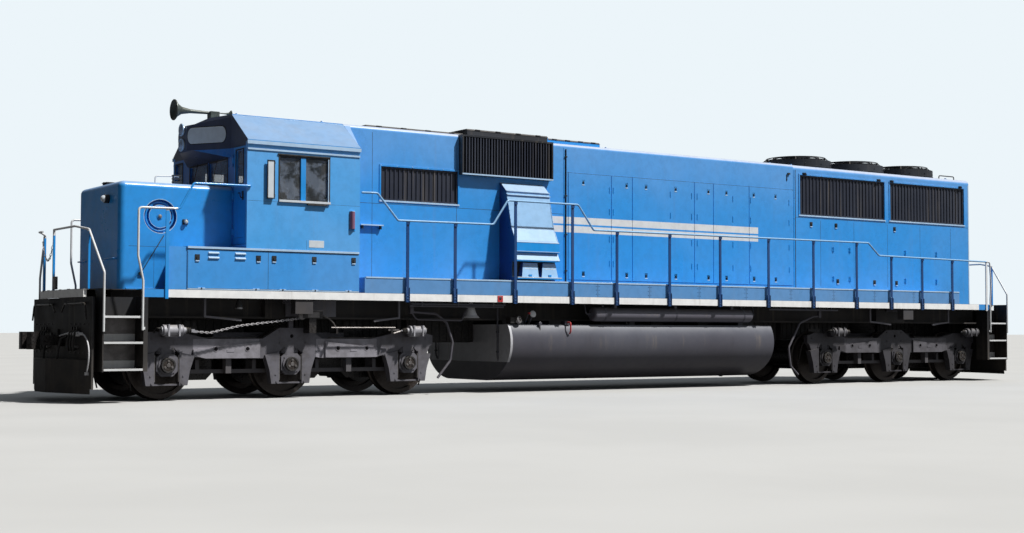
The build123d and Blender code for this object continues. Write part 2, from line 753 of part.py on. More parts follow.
# Hood sections: walls and roof as thick as the doors, open below
def hood_section(x0, x1, top, edge_radius, closed_x):
    outer = block(x0, x1, -hood_half_width, hood_half_width, deck_top, top)
    long_edges = [edge for edge in outer.edges().filter_by(Axis.X) if edge.center().Z > top - 1]
    outer = fillet(long_edges, edge_radius)
    inner_x0 = x0 + (hood_wall if closed_x == "rear" else -1)
    inner_x1 = x1 - (hood_wall if closed_x == "front" else -1)
    inner = block(inner_x0, inner_x1, -hood_half_width + hood_wall, hood_half_width - hood_wall,
                  deck_top - 1, top - hood_wall)
    return outer - inner


def cut_openings(section, openings):
    for rear_x, front_x, sill_z, head_z, *_ in openings:
        for side in (-1, 1):
            section = section - block(rear_x, front_x, side * (hood_half_width - hood_wall - 1),
                                      side * (hood_half_width + 1), sill_z, head_z)
    return section


def hood_front():
    section = hood_section(hood_break_1, cab_rear, hood_top, hood_round, "front")
    return cut_openings(section, (intake_grille, brake_grille))


def blower_duct():
    """The folded duct that leans on the left side of the hood, with two filter boxes in its foot."""
    folds = [(hood_half_width, blower_duct_top)] + list(duct_folds)
    folds.append((hood_half_width, duct_folds[-1][1]))
    duct = end_plate(folds, blower_duct_rear, blower_duct_front)
    x0, x1, outer, z0, z1 = duct_shelf
    duct = duct + block(x0, x1, duct_folds[-1][0] - 10, outer, z0, z1)
    for top_rear, top_front, foot_rear, foot_front in filter_boxes:
        # the box narrows upwards and leans out downwards
        front_view = [(top_rear, filter_top[1]), (top_front, filter_top[1]),
                      (foot_front, filter_foot[1]), (foot_rear, filter_foot[1])]
        side_view = [(duct_folds[-1][0] - 10, filter_top[1]), filter_top, filter_foot,
                     (duct_folds[-1][0] - 10, filter_foot[1])]
        duct = duct + (side_plate(front_view, duct_folds[-1][0] - 10, duct_outer)
                       & end_plate(side_view, blower_duct_rear, blower_duct_front))
    return duct


def hood_doors(section, side):
    for front_x, rear_x in zip(door_seams[:-1], door_seams[1:]):
        section = section + block(rear_x + seam_width / 2, front_x - seam_width / 2,
                                  side * (hood_half_width - 5), side * (hood_half_width + door_relief),
                                  hood_door_bottom, hood_door_top)
    return section


def engine_hood():
    section = hood_section(hood_break_2, hood_break_1, hood_top, hood_round, "none")
    for side in (-1, 1):
        section = hood_doors(section, side)
    return section


def radiator_hood():
    section = hood_section(hood_rear, hood_break_2, radiator_top, radiator_round, "rear")
    section = cut_openings(section, radiator_grilles)
    for x in fan_centres:
        section = section - rod_z(x, 0, radiator_top - hood_wall - 1, radiator_top + 1,
                                  fan_ring_radius - fan_ring_wall)
    housing = block(hood_rear - 90, hood_rear, -150, 150, rail + 3900, rail + 4250)
    return section + housing


def grille(rear_x, front_x, sill_z, head_z, bars, stand_out, side):
    """A framed grille of upright bars in front of a back plate."""
    back = hood_half_width - hood_wall
    outer = hood_half_width + stand_out
    body = block(rear_x, front_x, side * back, side * outer, sill_z, head_z)
    clear = block(rear_x + grille_frame, front_x - grille_frame, side * (back + 8), side * (outer + 1),
                  sill_z + grille_frame, head_z - grille_frame)
    body = body - clear
    pitch = (front_x - rear_x - 2 * grille_frame) / (bars + 1)
    for number in range(bars):
        x = rear_x + grille_frame + pitch * (number + 1)
        body = body + block(x - grille_bar / 2, x + grille_bar / 2, side * (back + 4), side * (outer - 6),
                            sill_z + grille_frame - 4, head_z - grille_frame + 4)
    return body


def hood_grilles():
    shapes = []
    for side in (-1, 1):
        for opening in (intake_grille, brake_grille) + radiator_grilles:
            shapes.append(grille(*opening, side))
    return shapes


def hatches():
    shapes = []
    for rear_x, front_x, half_width, top in roof_hatches:
        hatch = block(rear_x, front_x, -half_width, half_width, hood_top, top)
        upright = [edge for edge in hatch.edges().filter_by(Axis.X) if edge.center().Z > top - 1]
        shapes.append(chamfer(upright, 25))
    return shapes


def fan_housing(x):
    ring = rod_z(x, 0, radiator_top, fan_ring_top, fan_ring_radius)
    ring = ring - rod_z(x, 0, radiator_top - 1, fan_ring_top + 1, fan_ring_radius - fan_ring_wall)
    pieces = [ring, rod_z(x, 0, fan_guard_top - 25, fan_guard_top, fan_hub_radius)]
    for number in range(8):
        outline = [(fan_hub_radius - 20, fan_guard_top - 20), (fan_hub_radius - 20, fan_guard_top),
                   (fan_guard_radius, fan_guard_top - 25), (fan_ring_radius - 5, fan_ring_top - 15),
                   (fan_ring_radius - 25, fan_ring_top - 15), (fan_guard_radius, fan_guard_top - 45)]
        pieces.append(Pos(x, 0, 0) * Rot(0, 0, number * 45.0) * side_plate(outline, -10, 10))
    for radius, drop in ((300.0, 8.0), (460.0, 15.0), (fan_guard_radius, 24.0)):
        hoop = RegularPolygon(radius, hoop_sides) - RegularPolygon(radius - 14, hoop_sides)
        pieces.append(Pos(x, 0, fan_guard_top - drop - 18) * extrude(hoop, amount=18))
    beam = block(x - 60, x + 60, -fan_ring_radius + 10, fan_ring_radius - 10, radiator_top + 2,
                 radiator_top + 42)
    pieces.append(beam)
    pieces.append(rod_z(x, 0, radiator_top + 30, fan_blade_bottom - turning_clearance, 60))
    return fuse(pieces)


def fan_rotor(x):
    top = fan_blade_bottom + 120
    rotor = rod_z(x, 0, fan_blade_bottom, top, fan_hub_radius)
    for number in range(fan_blades):
        blade = Rot(0, 0, number * 360.0 / fan_blades) * Pos((fan_hub_radius + fan_tip_radius) / 2 - 10, 0, 0)
        blade = blade * Rot(28, 0, 0) * Box(fan_tip_radius - fan_hub_radius + 20, 190, 12)
        rotor = rotor + Pos(x, 0, fan_blade_bottom + 60) * blade
    return rotor


# Trucks
def beam_outline():
    """Outline of a side frame's beam, in x from the truck centre and height."""
    return symmetric((
        (235.0, rail + 1072), (510.0, rail + 905), (1400.0, rail + 900), (1870.0, rail + 1005),
        (2370.0, rail + 1005), (2560.0, rail + 955), (2560.0, rail + 810), (2500.0, rail + 773),
        (2440.0, rail + 640), (1700.0, rail + 640), (1550.0, rail + 622), (1411.0, rail + 600),
        (472.0, rail + 600), (300.0, rail + 640),
    ))


def side_frame():
    beam = side_plate(beam_outline(), frame_inner, frame_outer)
    pieces = [beam]
    for u in axle_offsets:
        for way in (-1, 1):
            edge = u + way * pedestal_half_width
            outline = [(edge, leg_bottom), (edge + way * 130, leg_bottom), (edge + way * 165, rail + 420),
                       (edge + way * 240, rail + 650), (edge, rail + 700)]
            pieces.append(side_plate(outline, frame_inner, leg_outer))
    for way in (-1, 1):
        panel = [(way * 560, rail + 606), (way * 1470, rail + 606), (way * 1660, rail + 655),
                 (way * 1660, rail + 740), (way * 560, rail + 860)]
        pieces.append(side_plate(panel, frame_outer - 5, leg_outer))
    frame = fuse(pieces)
    for u in axle_offsets:
        w = pedestal_half_width
        opening = [(u - w, rail), (u - w, rail + 690), (u - w + 85, rail + 770), (u + w - 85, rail + 770),
                   (u + w, rail + 690), (u + w, rail)]
        frame = frame - side_plate(opening, frame_inner - 1, leg_outer + 1)
    for u in (-1300.0, -780.0, 780.0, 1300.0):
        frame = frame - rod_y(u, frame_inner - 1, leg_outer + 1, rail + 748, 32)
    frame = frame - rod_y(20.0, frame_inner - 1, leg_outer + 1, rail + 945, 30)
    pieces = [frame]
    for u in axle_offsets:
        b = box_half_width
        octagon = [(u - b, axle_height - 90), (u - 90, axle_height - b), (u + 90, axle_height - b),
                   (u + b, axle_height - 90), (u + b, axle_height + 110), (u + 110, axle_height + b),
                   (u - 110, axle_height + b), (u - b, axle_height + 110)]
        pieces.append(side_plate(octagon, frame_inner, journal_shoulder - 10))
        pieces.append(rod_y(u, journal_shoulder - 20, journal_shoulder + 12, axle_height, 143))
        pieces.append(side_plate([(u - 80, axle_height + 100), (u + 80, axle_height + 100),
                                  (u + 80, rail + 780), (u - 80, rail + 780)], frame_inner, frame_outer))
        pieces.append(side_plate([(u - w - 60, leg_bottom), (u + w + 60, leg_bottom),
                                  (u + w + 60, leg_bottom + 25), (u - w - 60, leg_bottom + 25)],
                                 frame_inner + 20, frame_outer))
    frame = fuse(pieces)
    for u in axle_offsets:
        frame = frame - rod_y(u, frame_inner - 10, journal_shoulder + 20, axle_height,
                              journal_radius + turning_clearance)
        frame = frame - rod_y(u, journal_shoulder - turning_clearance, journal_shoulder + 20, axle_height,
                              axle_cap_radius + 3)
    return frame


def brake_cylinder(side, x0, x1):
    """A brake cylinder on a bracket that stands on the side frame, with its push rod towards the middle."""
    y = side * brake_cylinder_y
    z = brake_cylinder_height
    way = 1 if x0 > 0 else -1
    near, far = (x0, x1) if way == 1 else (x1, x0)
    middle = (x0 + x1) / 2
    pieces = [
        rod_x(x0, x1, y, z, brake_cylinder_radius),
        rod_x(near - way * 45, near, y, z, push_rod_collar),
        rod_x(far, far + way * 22, y, z, push_rod_collar + 10),
        rod_x(near - way * push_rod_length, near, y, z, push_rod_radius),
        block(middle - cylinder_bracket, middle + cylinder_bracket, side * (frame_inner + 20),
              side * (brake_cylinder_y - 30), rail + 930, z - 20),
    ]
    for band in (middle - cylinder_bracket, middle + cylinder_bracket - band_width):
        pieces.append(block(band, band + band_width, y - band_half_height, y + band_half_height,
                            z - band_half_height, z + band_half_height))
    return pieces


def chain_eyes():
    """The two eyes that hold the ends of the hand brake chain: on a push rod, and on the side frame."""
    (front_x, front_z), (rear_x, rear_z) = chain_run[0], chain_run[-1]
    inner, outer = brake_cylinder_y - eye_half_width, brake_cylinder_y + eye_half_width
    half = eye_half_height
    pieces = [
        block(front_x + 26, brake_cylinders[0][1] - 130, inner, outer, front_z - 12, front_z + 36),
        block(rear_x - half, rear_x + half, frame_outer - 40, inner + eye_plate, rear_z - half,
              rear_z + half),
        block(rear_x - 40, rear_x + 40, frame_inner + 30, frame_outer - 20, rail + 1040, rear_z + half),
    ]
    for x0, x1, pin_x, z in ((front_x - half, front_x + 30, front_x, front_z),
                             (rear_x - half, rear_x + half, rear_x, rear_z)):
        pieces.append(rod_y(pin_x, inner, outer, z, chain_pin_radius))
        for y in (inner, outer - eye_plate):
            pieces.append(block(x0, x1, y, y + eye_plate, z - half, z + half))
    return pieces


def truck_frame(end):
    side = side_frame()
    pieces = [side, mirror(side, about=Plane.XZ)]
    for cylinder in brake_cylinders:
        pieces += brake_cylinder(*cylinder)
    if end == 1:
        pieces += chain_eyes()
    for u0, u1 in transoms:
        pieces.append(block(u0, u1, -frame_inner - 5, frame_inner + 5, transom_bottom, transom_top))
    pieces.append(block(transoms[1][0], transoms[0][1], -560, 560, transom_top - 20, truck_bolster_top))
    pieces.append(rod_z(0, 0, truck_bolster_top - 5, centre_plate_face - 0.5, bowl_radius))
    frame = fuse(pieces)
    return place_on_truck(frame, end)


def place_on_truck(shape, end):
    """Move a shape drawn from the truck centre to the front or, turned round, to the rear truck."""
    if end == 1:
        return Pos(truck_centre, 0, 0) * shape
    return Pos(-truck_centre, 0, 0) * Rot(0, 0, 180) * shape


def wheelset(x):
    # distance along the axle from the middle, and radius
    half = (
        (0.0, axle_radius), (hub_inner_face, axle_radius), (hub_inner_face, hub_radius),
        (web_inner_face, hub_radius), (web_inner_face, rim_bore), (rim_inner_face, rim_bore),
        (rim_inner_face - 25, tread_radius + flange_depth), (rim_inner_face + 5, tread_radius + flange_depth),
        (rim_inner_face + 20, tread_radius), (rim_outer_face, tread_radius), (rim_outer_face, rim_bore),
        (web_outer_face, rim_bore), (web_outer_face, hub_radius), (hub_outer_face, hub_radius),
        (hub_outer_face, journal_radius), (journal_shoulder, journal_radius),
        (journal_shoulder, axle_cap_radius), (axle_cap_face, axle_cap_radius), (axle_cap_face, 0.0),
    )
    outline = [(r, y) for y, r in half]
    full = outline[1:] + [(r, -y) for r, y in reversed(outline[1:])]
    body = revolve(make_face(Polyline(*full, close=True)), axis=Axis.Y)
    return Pos(x, 0, axle_height) * body


def motors(end):
    shapes = []
    for u, way, face in motor_table:
        near = u + way * 100
        body = block(near, face, -motor_half_width, motor_half_width, rail + 260, rail + 860)
        long_edges = body.edges().filter_by(Axis.Y)
        body = chamfer(long_edges, 90)
        cradle = rod_y(u, -motor_half_width, motor_half_width, axle_height, 170)
        case_y = (-640.0, -500.0)
        gear_case = rod_y(u, *case_y, axle_height, gear_case_radius) + block(u, u + way * 420, *case_y,
                                                                axle_height - 200, axle_height + 200)
        joint = block(u + way * 120, u + way * 400, -510, -470, axle_height - 150, axle_height + 150)
        motor = body + cradle + gear_case + joint
        motor = motor - rod_y(u, -700, 700, axle_height, axle_radius + turning_clearance)
        for x0, x1 in bellows:
            if min(near, face) < x0 and x1 < max(near, face):
                for k, (z0, z1) in enumerate(zip(bellows_folds[:-1], bellows_folds[1:])):
                    tuck = 18 * (k % 2)
                    motor = motor + block(x0 + tuck, x1 - tuck, tuck - bellows_half_width,
                                          bellows_half_width - tuck, z0, z1)
        shapes.append(place_on_truck(motor, end))
    return shapes


def ring_outline(length, width, corner):
    """A rectangle with cut corners."""
    quarter = [(length / 2, width / 2 - corner), (length / 2 - corner, width / 2)]
    return symmetric([(x, -y) for x, y in reversed(quarter)] + quarter)


def brake_chain():
    """The hand brake chain of the front truck: flat links, every second one turned on edge."""
    length, width, bar = chain_link
    points = [Vector(x, brake_cylinder_y, z) for x, z in chain_run]
    points[0] = points[0] + (points[1] - points[0]).normalized() * chain_end_gap
    points[-1] = points[-1] + (points[-2] - points[-1]).normalized() * chain_end_gap
    spans = [(after - before).length for before, after in zip(points[:-1], points[1:])]
    gaps = int(sum(spans) // (length - 2 * bar + 0.6) // 2) * 2
    links = []
    for number in range(gaps + 1):
        along = number * sum(spans) / gaps
        span = 0
        while along > spans[span] and span < len(spans) - 1:
            along -= spans[span]
            span += 1
        ahead = (points[span + 1] - points[span]).normalized()
        normal = Vector(0, 1, 0) if number % 2 == 0 else ahead.cross(Vector(0, 1, 0))
        flat = Plane(origin=points[span] + ahead * along, x_dir=ahead, z_dir=normal)
        ring = make_face(Polyline(*ring_outline(length, width, 10.0), close=True))
        hole = make_face(Polyline(*ring_outline(length - 2 * bar, width - 2 * bar, 4.0), close=True))
        links.append(extrude(flat * (ring - hole), amount=bar / 2, both=True))
    return Pos(truck_centre, 0, 0) * fuse(links)


def brakes(end):
    """Brake rods, shoe heads and hangers beside the wheels, and the hand brake chain on the front truck."""
    shapes = []
    rod_z0 = rail + 375.0
    rod_z1 = rail + 435.0
    shoe_gap = 6.0
    for side in (-1, 1):
        # ends of each rod, in x from the truck centre, and the two wheels it serves
        for u0, u1 in ((51.0, 2073.0), (-2073.0, 51.0)):
            low = u0 + 180
            high = u1 - 180
            pieces = [block(low, high, side * 900, side * 960, rod_z0, rod_z1)]
            for u in (u0 + tread_radius + shoe_gap, u1 - tread_radius - shoe_gap - 60):
                pieces.append(block(u, u + 60, side * 710, side * 960, rod_z0, axle_height + 70))
            middle = (u0 + u1) / 2
            pieces.append(block(middle - 45, middle + 45, side * 930, side * 1060, rod_z0, rail + 600))
            shapes.append(place_on_truck(fuse(pieces), end))
    if end == 1:
        shapes.append(brake_chain())
    return shapes


def engine_block():
    return block(-3300, 1000, -620, 620, deck_top, rail + 3300)


# Handrails
def rail_height(x, route):
    """Height of a rail's route above a post."""
    for (x0, z0), (x1, z1) in zip(route[:-1], route[1:]):
        if x1 <= x <= x0:
            return z0 + (z1 - z0) * (x0 - x) / (x0 - x1)
    return route[-1][1]


def side_handrails():
    left_route = (
        (5697.0, rail + 3233), (5318.0, rail + 2812), (3470.0, rail + 2826), (3174.0, rail + 3249),
        (1685.0, rail + 3249), (1343.0, rail + 2815), (-5689.0, rail + 2841), (-6006.0, rail + 2592),
        (rail_joint_gap - corner_rail_x, rail + 2560),
    )
    right_route = ((5600.0, rail + 2640), (-5689.0, rail + 2640),
                   (rail_joint_gap - corner_rail_x, rail + 2560))
    shapes = []
    for side, route in ((1, left_route), (-1, right_route)):
        points = [(x, side * handrail_y, z) for x, z in route]
        if side == 1:
            points = [(cab_rear - 28, cab_half_width + 5, route[0][1]),
                      (5800.0, handrail_y, route[0][1])] + points
            rail_piece = tube(points, 60)
        else:
            rail_piece = tube(points, 60)
        pieces = [rail_piece]
        for x in post_places:
            top = rail_height(x, route)
            pieces.append(block(x - post_width / 2, x + post_width / 2, side * deck_half_width,
                                side * (deck_half_width + post_depth), sill_bottom - 20, top - 10))
            pieces.append(block(x - post_width / 2, x + post_width / 2, side * deck_half_width,
                                side * (handrail_y + 5), top - 60, top - 8))
        shapes.append(fuse(pieces))
    return shapes


def step_handrails(end, side):
    """The two step rails at one corner and the end rail that one of them becomes."""
    outer_x = step_front_x + step_side / 2
    y = deck_half_width + rail_radius
    crossing = end_rail_reach[side]
    corner = (platform_half_length - 126, end_deck_half_width + 20)
    end_x = platform_half_length - 36
    front_rail = tube([(outer_x, y, rail + 1010), (outer_x, y, rail + 1860), (*corner, rail + 2500),
                       (end_x, 700, rail + 2560), (end_x, crossing, rail + 2560)], 50)
    corner_post = block(corner[0] - 15, corner[0] + 15, corner[1] - 30, corner[1] + 30, deck_top, rail + 2500)
    end_post = block(end_x - 15, end_x + 15, crossing - 10, crossing + 30, deck_top, rail + 2562)
    inner_x = step_rear_x + 20
    if end == 1:
        knee = [(inner_x + 80, y, rail + 2110), (inner_x + 80, y, rail + 2815), (9010, y, rail + 2825),
                (8790, y, rail + 3215), (cab_front - 40, y, rail + 3225)]
        post = block(front_panel_x - 25, front_panel_x + 25, deck_half_width, deck_half_width + post_depth,
                     sill_bottom - 20, rail + 2815)
        rest = block(cab_front - 60, cab_front - 20, cab_half_width, y, rail + 3212, rail + 3238)
    else:
        knee = [(inner_x + 30, y, rail + 2100), (inner_x - 10, y, rail + 2560),
                (corner_rail_x, y, rail + 2560)]
        post = block(corner_rail_x + 10, corner_rail_x + 10 + post_width, deck_half_width,
                     deck_half_width + post_depth, sill_bottom - 20, rail + 2560)
        rest = None
    rear_rail = tube([(inner_x, y, rail + 1030), (inner_x, y, rail + 1750)] + knee, 50)
    lugs = [block(outer_x - 9, outer_x + 9, deck_half_width, y, z, z + 40)
            for z in (rail + 1040, rail + 1440)]
    lugs.append(block(step_rear_x - step_side, step_rear_x, deck_half_width, y, rail + 1040, rail + 1080))
    first = fuse([front_rail, corner_post, end_post] + lugs[:2])
    second = fuse([piece for piece in (rear_rail, post, rest, lugs[2]) if piece is not None])
    shapes = [first, second]
    if side == -1:
        shapes = [mirror(shape, about=Plane.XZ) for shape in shapes]
    if end == -1:
        shapes = [mirror(shape, about=Plane.YZ) for shape in shapes]
    return shapes


def bell():
    # radius and height below the hanger
    profile = [(0.0, 0.0), (40.0, 0.0), (60.0, -40.0), (85.0, -130.0), (110.0, -190.0), (150.0, -235.0),
               (140.0, -240.0), (0.0, -200.0)]
    body = revolve(Plane.XZ * make_face(Polyline(*profile, close=True)), axis=Axis.Z)
    hanger = block(-25, 25, -25, 25, -5, 130)
    return Pos(bell_x, bell_y, sill_bottom - 130 + sill_depth - deck_thickness) * (body + hanger)


def horn():
    # distance forward from the base, and radius
    profile = [(0.0, 0.0), (0.0, 20.0), (380.0, 34.0), (520.0, 60.0), (590.0, 105.0), (640.0, 168.0),
               (652.0, 168.0), (600.0, 90.0), (600.0, 0.0)]
    trumpet = revolve(Plane.XY * make_face(Polyline(*profile, close=True)), axis=Axis.X)
    rear_trumpet = Pos(-60, 70, 0) * Rot(0, 0, 180) * scale(trumpet, by=0.36)
    base = block(-90, 60, -60, 90, -140, 20)
    whole = Pos(horn_x, horn_y, horn_height) * fuse([trumpet, rear_trumpet, base])
    return whole - cab_roof()


def headlamps():
    shapes = []
    for offset in (-lamp_spacing / 2, lamp_spacing / 2):
        shapes.append(rod_x(housing_front, housing_front + 25, 0, rail + 4090 + offset, lamp_radius))
        shapes.append(rod_x(hood_rear - 90 - 25, hood_rear - 90, 0, rail + 4075 + offset * 0.6, 70))
    return shapes


save("underframe", underframe())
for name, end in (("front", 1), ("rear", -1)):
    save(f"pilot_{name}", pilot(end))
    save(f"coupler_{name}", coupler(end))
    save(f"truck_{name}", truck_frame(end))
    save(f"motors_{name}", *motors(end))
    save(f"brakes_{name}", *brakes(end))
    for number, offset in enumerate(axle_offsets, start=1):
        save(f"wheelset_{name}_{number}", wheelset(end * (truck_centre + offset)))
save("fuel_tank", fuel_tank())
save("air_reservoirs", *air_reservoirs())
save("sand_pipes", *sand_pipes())
save("side_cabinets", *side_cabinets())
save("nose", nose())
save("cab_floor", cab_floor())
save("cab_left_wall", cab_side(1))
save("cab_right_wall", cab_side(-1))
save("cab_front_wall", cab_front_wall())
save("cab_rear_wall", cab_rear_wall())
save("cab_roof", cab_roof())
save("front_door", cab_door(1, 1))
save("rear_door", cab_door(-1, -1))
save("front_door_glass", door_glass(1, 1))
save("rear_door_glass", door_glass(-1, -1))
save("cab_glass", *cab_glass())
save("cab_seats", *cab_seats())
save("control_stand", *control_stand())
save("hood_front", hood_front())
save("blower_duct", blower_duct())
save("engine_hood", engine_hood())
save("radiator_hood", radiator_hood())
save("hood_grilles", *hood_grilles())
save("roof_hatches", *hatches())
save("fan_housings", *[fan_housing(x) for x in fan_centres])
for number, x in enumerate(fan_centres, start=1):
    save(f"fan_{number}", fan_rotor(x))
save("engine_block", engine_block())
save("side_handrails", *side_handrails())
save("end_handrails", *[rail_part for end in (1, -1) for side in (1, -1)
                        for rail_part in step_handrails(end, side)])
save("hand_brake", hand_brake())
save("bell", bell())
save("horn", horn())
save("headlamps", *headlamps())
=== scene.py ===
import math

import bmesh
import bpy
from mathutils import Matrix, Vector


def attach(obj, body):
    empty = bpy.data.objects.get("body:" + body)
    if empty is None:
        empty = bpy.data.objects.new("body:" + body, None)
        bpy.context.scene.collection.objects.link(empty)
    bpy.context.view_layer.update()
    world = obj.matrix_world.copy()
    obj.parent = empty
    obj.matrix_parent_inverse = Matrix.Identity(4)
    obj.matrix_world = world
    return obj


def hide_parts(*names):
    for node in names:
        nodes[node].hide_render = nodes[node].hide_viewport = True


# Looks of a six-axle diesel locomotive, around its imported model.
# Metres. +X is forward, +Y is to the left, +Z is up. R is the height of the rail head above the flange tips.
# The heights of shapes are counted from the rail head.

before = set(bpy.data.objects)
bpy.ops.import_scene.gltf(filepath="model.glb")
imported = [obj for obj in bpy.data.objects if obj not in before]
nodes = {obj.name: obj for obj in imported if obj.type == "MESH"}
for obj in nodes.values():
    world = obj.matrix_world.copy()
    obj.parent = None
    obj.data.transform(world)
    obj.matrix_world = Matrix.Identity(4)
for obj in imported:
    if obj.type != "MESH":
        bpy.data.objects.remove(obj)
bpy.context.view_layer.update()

# TRUCK is the distance from the middle to a truck's centre, and AXLES are places along x about that centre.
# SIDE and the names in _Y are half widths, and those in _FRONT and _REAR are places along x.
# The others are heights, AXLE_Z of the axles, CABINET of the cabinets' tops and ROOF of the long hood's roof.
R = 0.025
TRUCK = 6.947
AXLES = (2.073, 0.051, -2.073)
AXLE_Z = 0.508
DECK = 1.633
SILL = 1.514
SIDE = 1.513
HOOD_Y = 0.938
HOOD_REAR = -9.6
ROOF = 4.4
CAB_Y = 1.499
CAB_FRONT = 7.928
CAB_REAR = 5.988
NOSE_Y = 0.931
NOSE_FRONT = 9.705
NOSE_TOP = 3.259
CABINET = 2.281
CAB_FLOOR = CABINET + 0.06
LOCO = "locomotive"

AHEAD = (1, 0, 0)
BEHIND = (-1, 0, 0)
OUT = (0, 1, 0)
UP = (0, 0, 1)
DOWN = (0, 0, -1)


# Camera at the photograph's viewpoint
def make_camera():
    yaw, pitch, roll = (math.radians(a) for a in (34.535, 2.506, 0.124))
    forward = Vector((-math.sin(yaw) * math.cos(pitch), -math.cos(yaw) * math.cos(pitch), math.sin(pitch)))
    right = forward.cross(Vector(UP)).normalized()
    up = right.cross(forward)
    right, up = (math.cos(roll) * right + math.sin(roll) * up, -math.sin(roll) * right + math.cos(roll) * up)
    data = bpy.data.cameras.new("camera")
    data.lens = 52.06
    data.sensor_width = 36.0
    data.shift_x = -0.00684
    data.shift_y = 0.00015
    data.clip_start = 0.1
    data.clip_end = 2000.0
    camera = bpy.data.objects.new("camera", data)
    bpy.context.scene.collection.objects.link(camera)
    turn = Matrix((right, up, -forward)).transposed().to_4x4()
    eye = (17.2346, 22.314, 1.0493)
    camera.matrix_world = Matrix.Translation(eye) @ turn
    bpy.context.scene.camera = camera


# Node graphs
def srgb(red, green, blue):
    """A colour written as 0 to 255 screen values, as the linear colour that Blender takes."""
    def linear(value):
        value = value / 255.0
        return value / 12.92 if value <= 0.04045 else ((value + 0.055) / 1.055) ** 2.4
    return (linear(red), linear(green), linear(blue), 1.0)


def connect(tree, socket, value):
    """Links an output to a socket, or gives the socket a plain value."""
    if isinstance(value, bpy.types.NodeSocket):
        tree.links.new(value, socket)
    else:
        socket.default_value = value


def add_node(tree, kind, **values):
    """A new node. Its inputs are named with underscores for spaces."""
    node = tree.nodes.new(kind)
    for name, value in values.items():
        connect(tree, node.inputs[name.replace("_", " ")], value)
    return node


class Graph:
    """A material with one principled shader, and short calls for its nodes."""

    def __init__(self, name):
        self.material = bpy.data.materials.new(name)
        self.material.use_nodes = True
        self.tree = self.material.node_tree
        self.tree.nodes.clear()
        self.shader = add_node(self.tree, "ShaderNodeBsdfPrincipled")
        add_node(self.tree, "ShaderNodeOutputMaterial", Surface=self.shader.outputs[0])
        self.place = add_node(self.tree, "ShaderNodeTexCoord").outputs["Object"]
        self.axes = self.split(self.place)
        self.normal = self.split(add_node(self.tree, "ShaderNodeNewGeometry").outputs["Normal"])

    def shade(self, **values):
        """Gives the shader's inputs their values."""
        for name, value in values.items():
            connect(self.tree, self.shader.inputs[name.replace("_", " ")], value)

    def split(self, vector):
        return add_node(self.tree, "ShaderNodeSeparateXYZ", Vector=vector).outputs

    def math(self, operation, a, b=0.0, clamp=False):
        node = add_node(self.tree, "ShaderNodeMath")
        node.operation = operation
        node.use_clamp = clamp
        connect(self.tree, node.inputs[0], a)
        connect(self.tree, node.inputs[1], b)
        return node.outputs[0]

    def mix(self, factor, a, b):
        node = add_node(self.tree, "ShaderNodeMix")
        node.data_type = "RGBA"
        connect(self.tree, node.inputs["Factor"], factor)
        connect(self.tree, node.inputs[6], a)
        connect(self.tree, node.inputs[7], b)
        return node.outputs[2]

    def ramp(self, value, low, high, low_out=0.0, high_out=1.0):
        node = add_node(self.tree, "ShaderNodeMapRange", Value=value, From_Min=low, From_Max=high,
                        To_Min=low_out, To_Max=high_out)
        node.interpolation_type = "SMOOTHSTEP"
        return node.outputs[0]

    def noise(self, scale, detail=3.0, roughness=0.55, stretch=(1.0, 1.0, 1.0)):
        mapping = add_node(self.tree, "ShaderNodeMapping", Vector=self.place, Scale=stretch)
        return add_node(self.tree, "ShaderNodeTexNoise", Vector=mapping.outputs[0], Scale=scale,
                        Detail=detail, Roughness=roughness).outputs[0]

    def bump(self, height, strength, distance, **under):
        return add_node(self.tree, "ShaderNodeBump", Strength=strength, Distance=distance,
                        Height=height, **under).outputs[0]

    # Masks, which are 1 inside and 0 outside
    def both(self, *masks):
        result = masks[0]
        for mask in masks[1:]:
            result = self.math("MULTIPLY", result, mask)
        return result

    def either(self, a, b):
        return self.math("MAXIMUM", a, b)

    def outside(self, mask):
        return self.math("SUBTRACT", 1.0, mask)

    def inside(self, axis, low, high):
        """1 where a coordinate lies between two values."""
        above = self.math("GREATER_THAN", self.axes[axis], low)
        return self.both(above, self.math("LESS_THAN", self.axes[axis], high))

    def height(self, low, high):
        """1 where the height above the rail head lies between two values."""
        return self.inside(2, R + low, R + high)

    def beyond(self, axis, distance):
        """1 where a coordinate is further than distance from the middle, on either side."""
        return self.math("GREATER_THAN", self.math("ABSOLUTE", self.axes[axis]), distance)

    def between(self, axis, near, far):
        """1 where a coordinate's distance from the middle lies between two values."""
        return self.math("SUBTRACT", self.beyond(axis, near), self.beyond(axis, far))


DUST = srgb(150, 138, 122)
PALE = srgb(205, 218, 236)
GRIME = srgb(46, 40, 36)
DARKER_TOWARDS_REAR = srgb(24, 22, 26)
CHIPPED = srgb(92, 78, 70)
HAZE_AND_REFLECTION = srgb(150, 164, 186)
MOTTLE = (0.02, 0.03, 0.05, 1.0)
FILM = (0.2, 0.19, 0.18, 1.0)


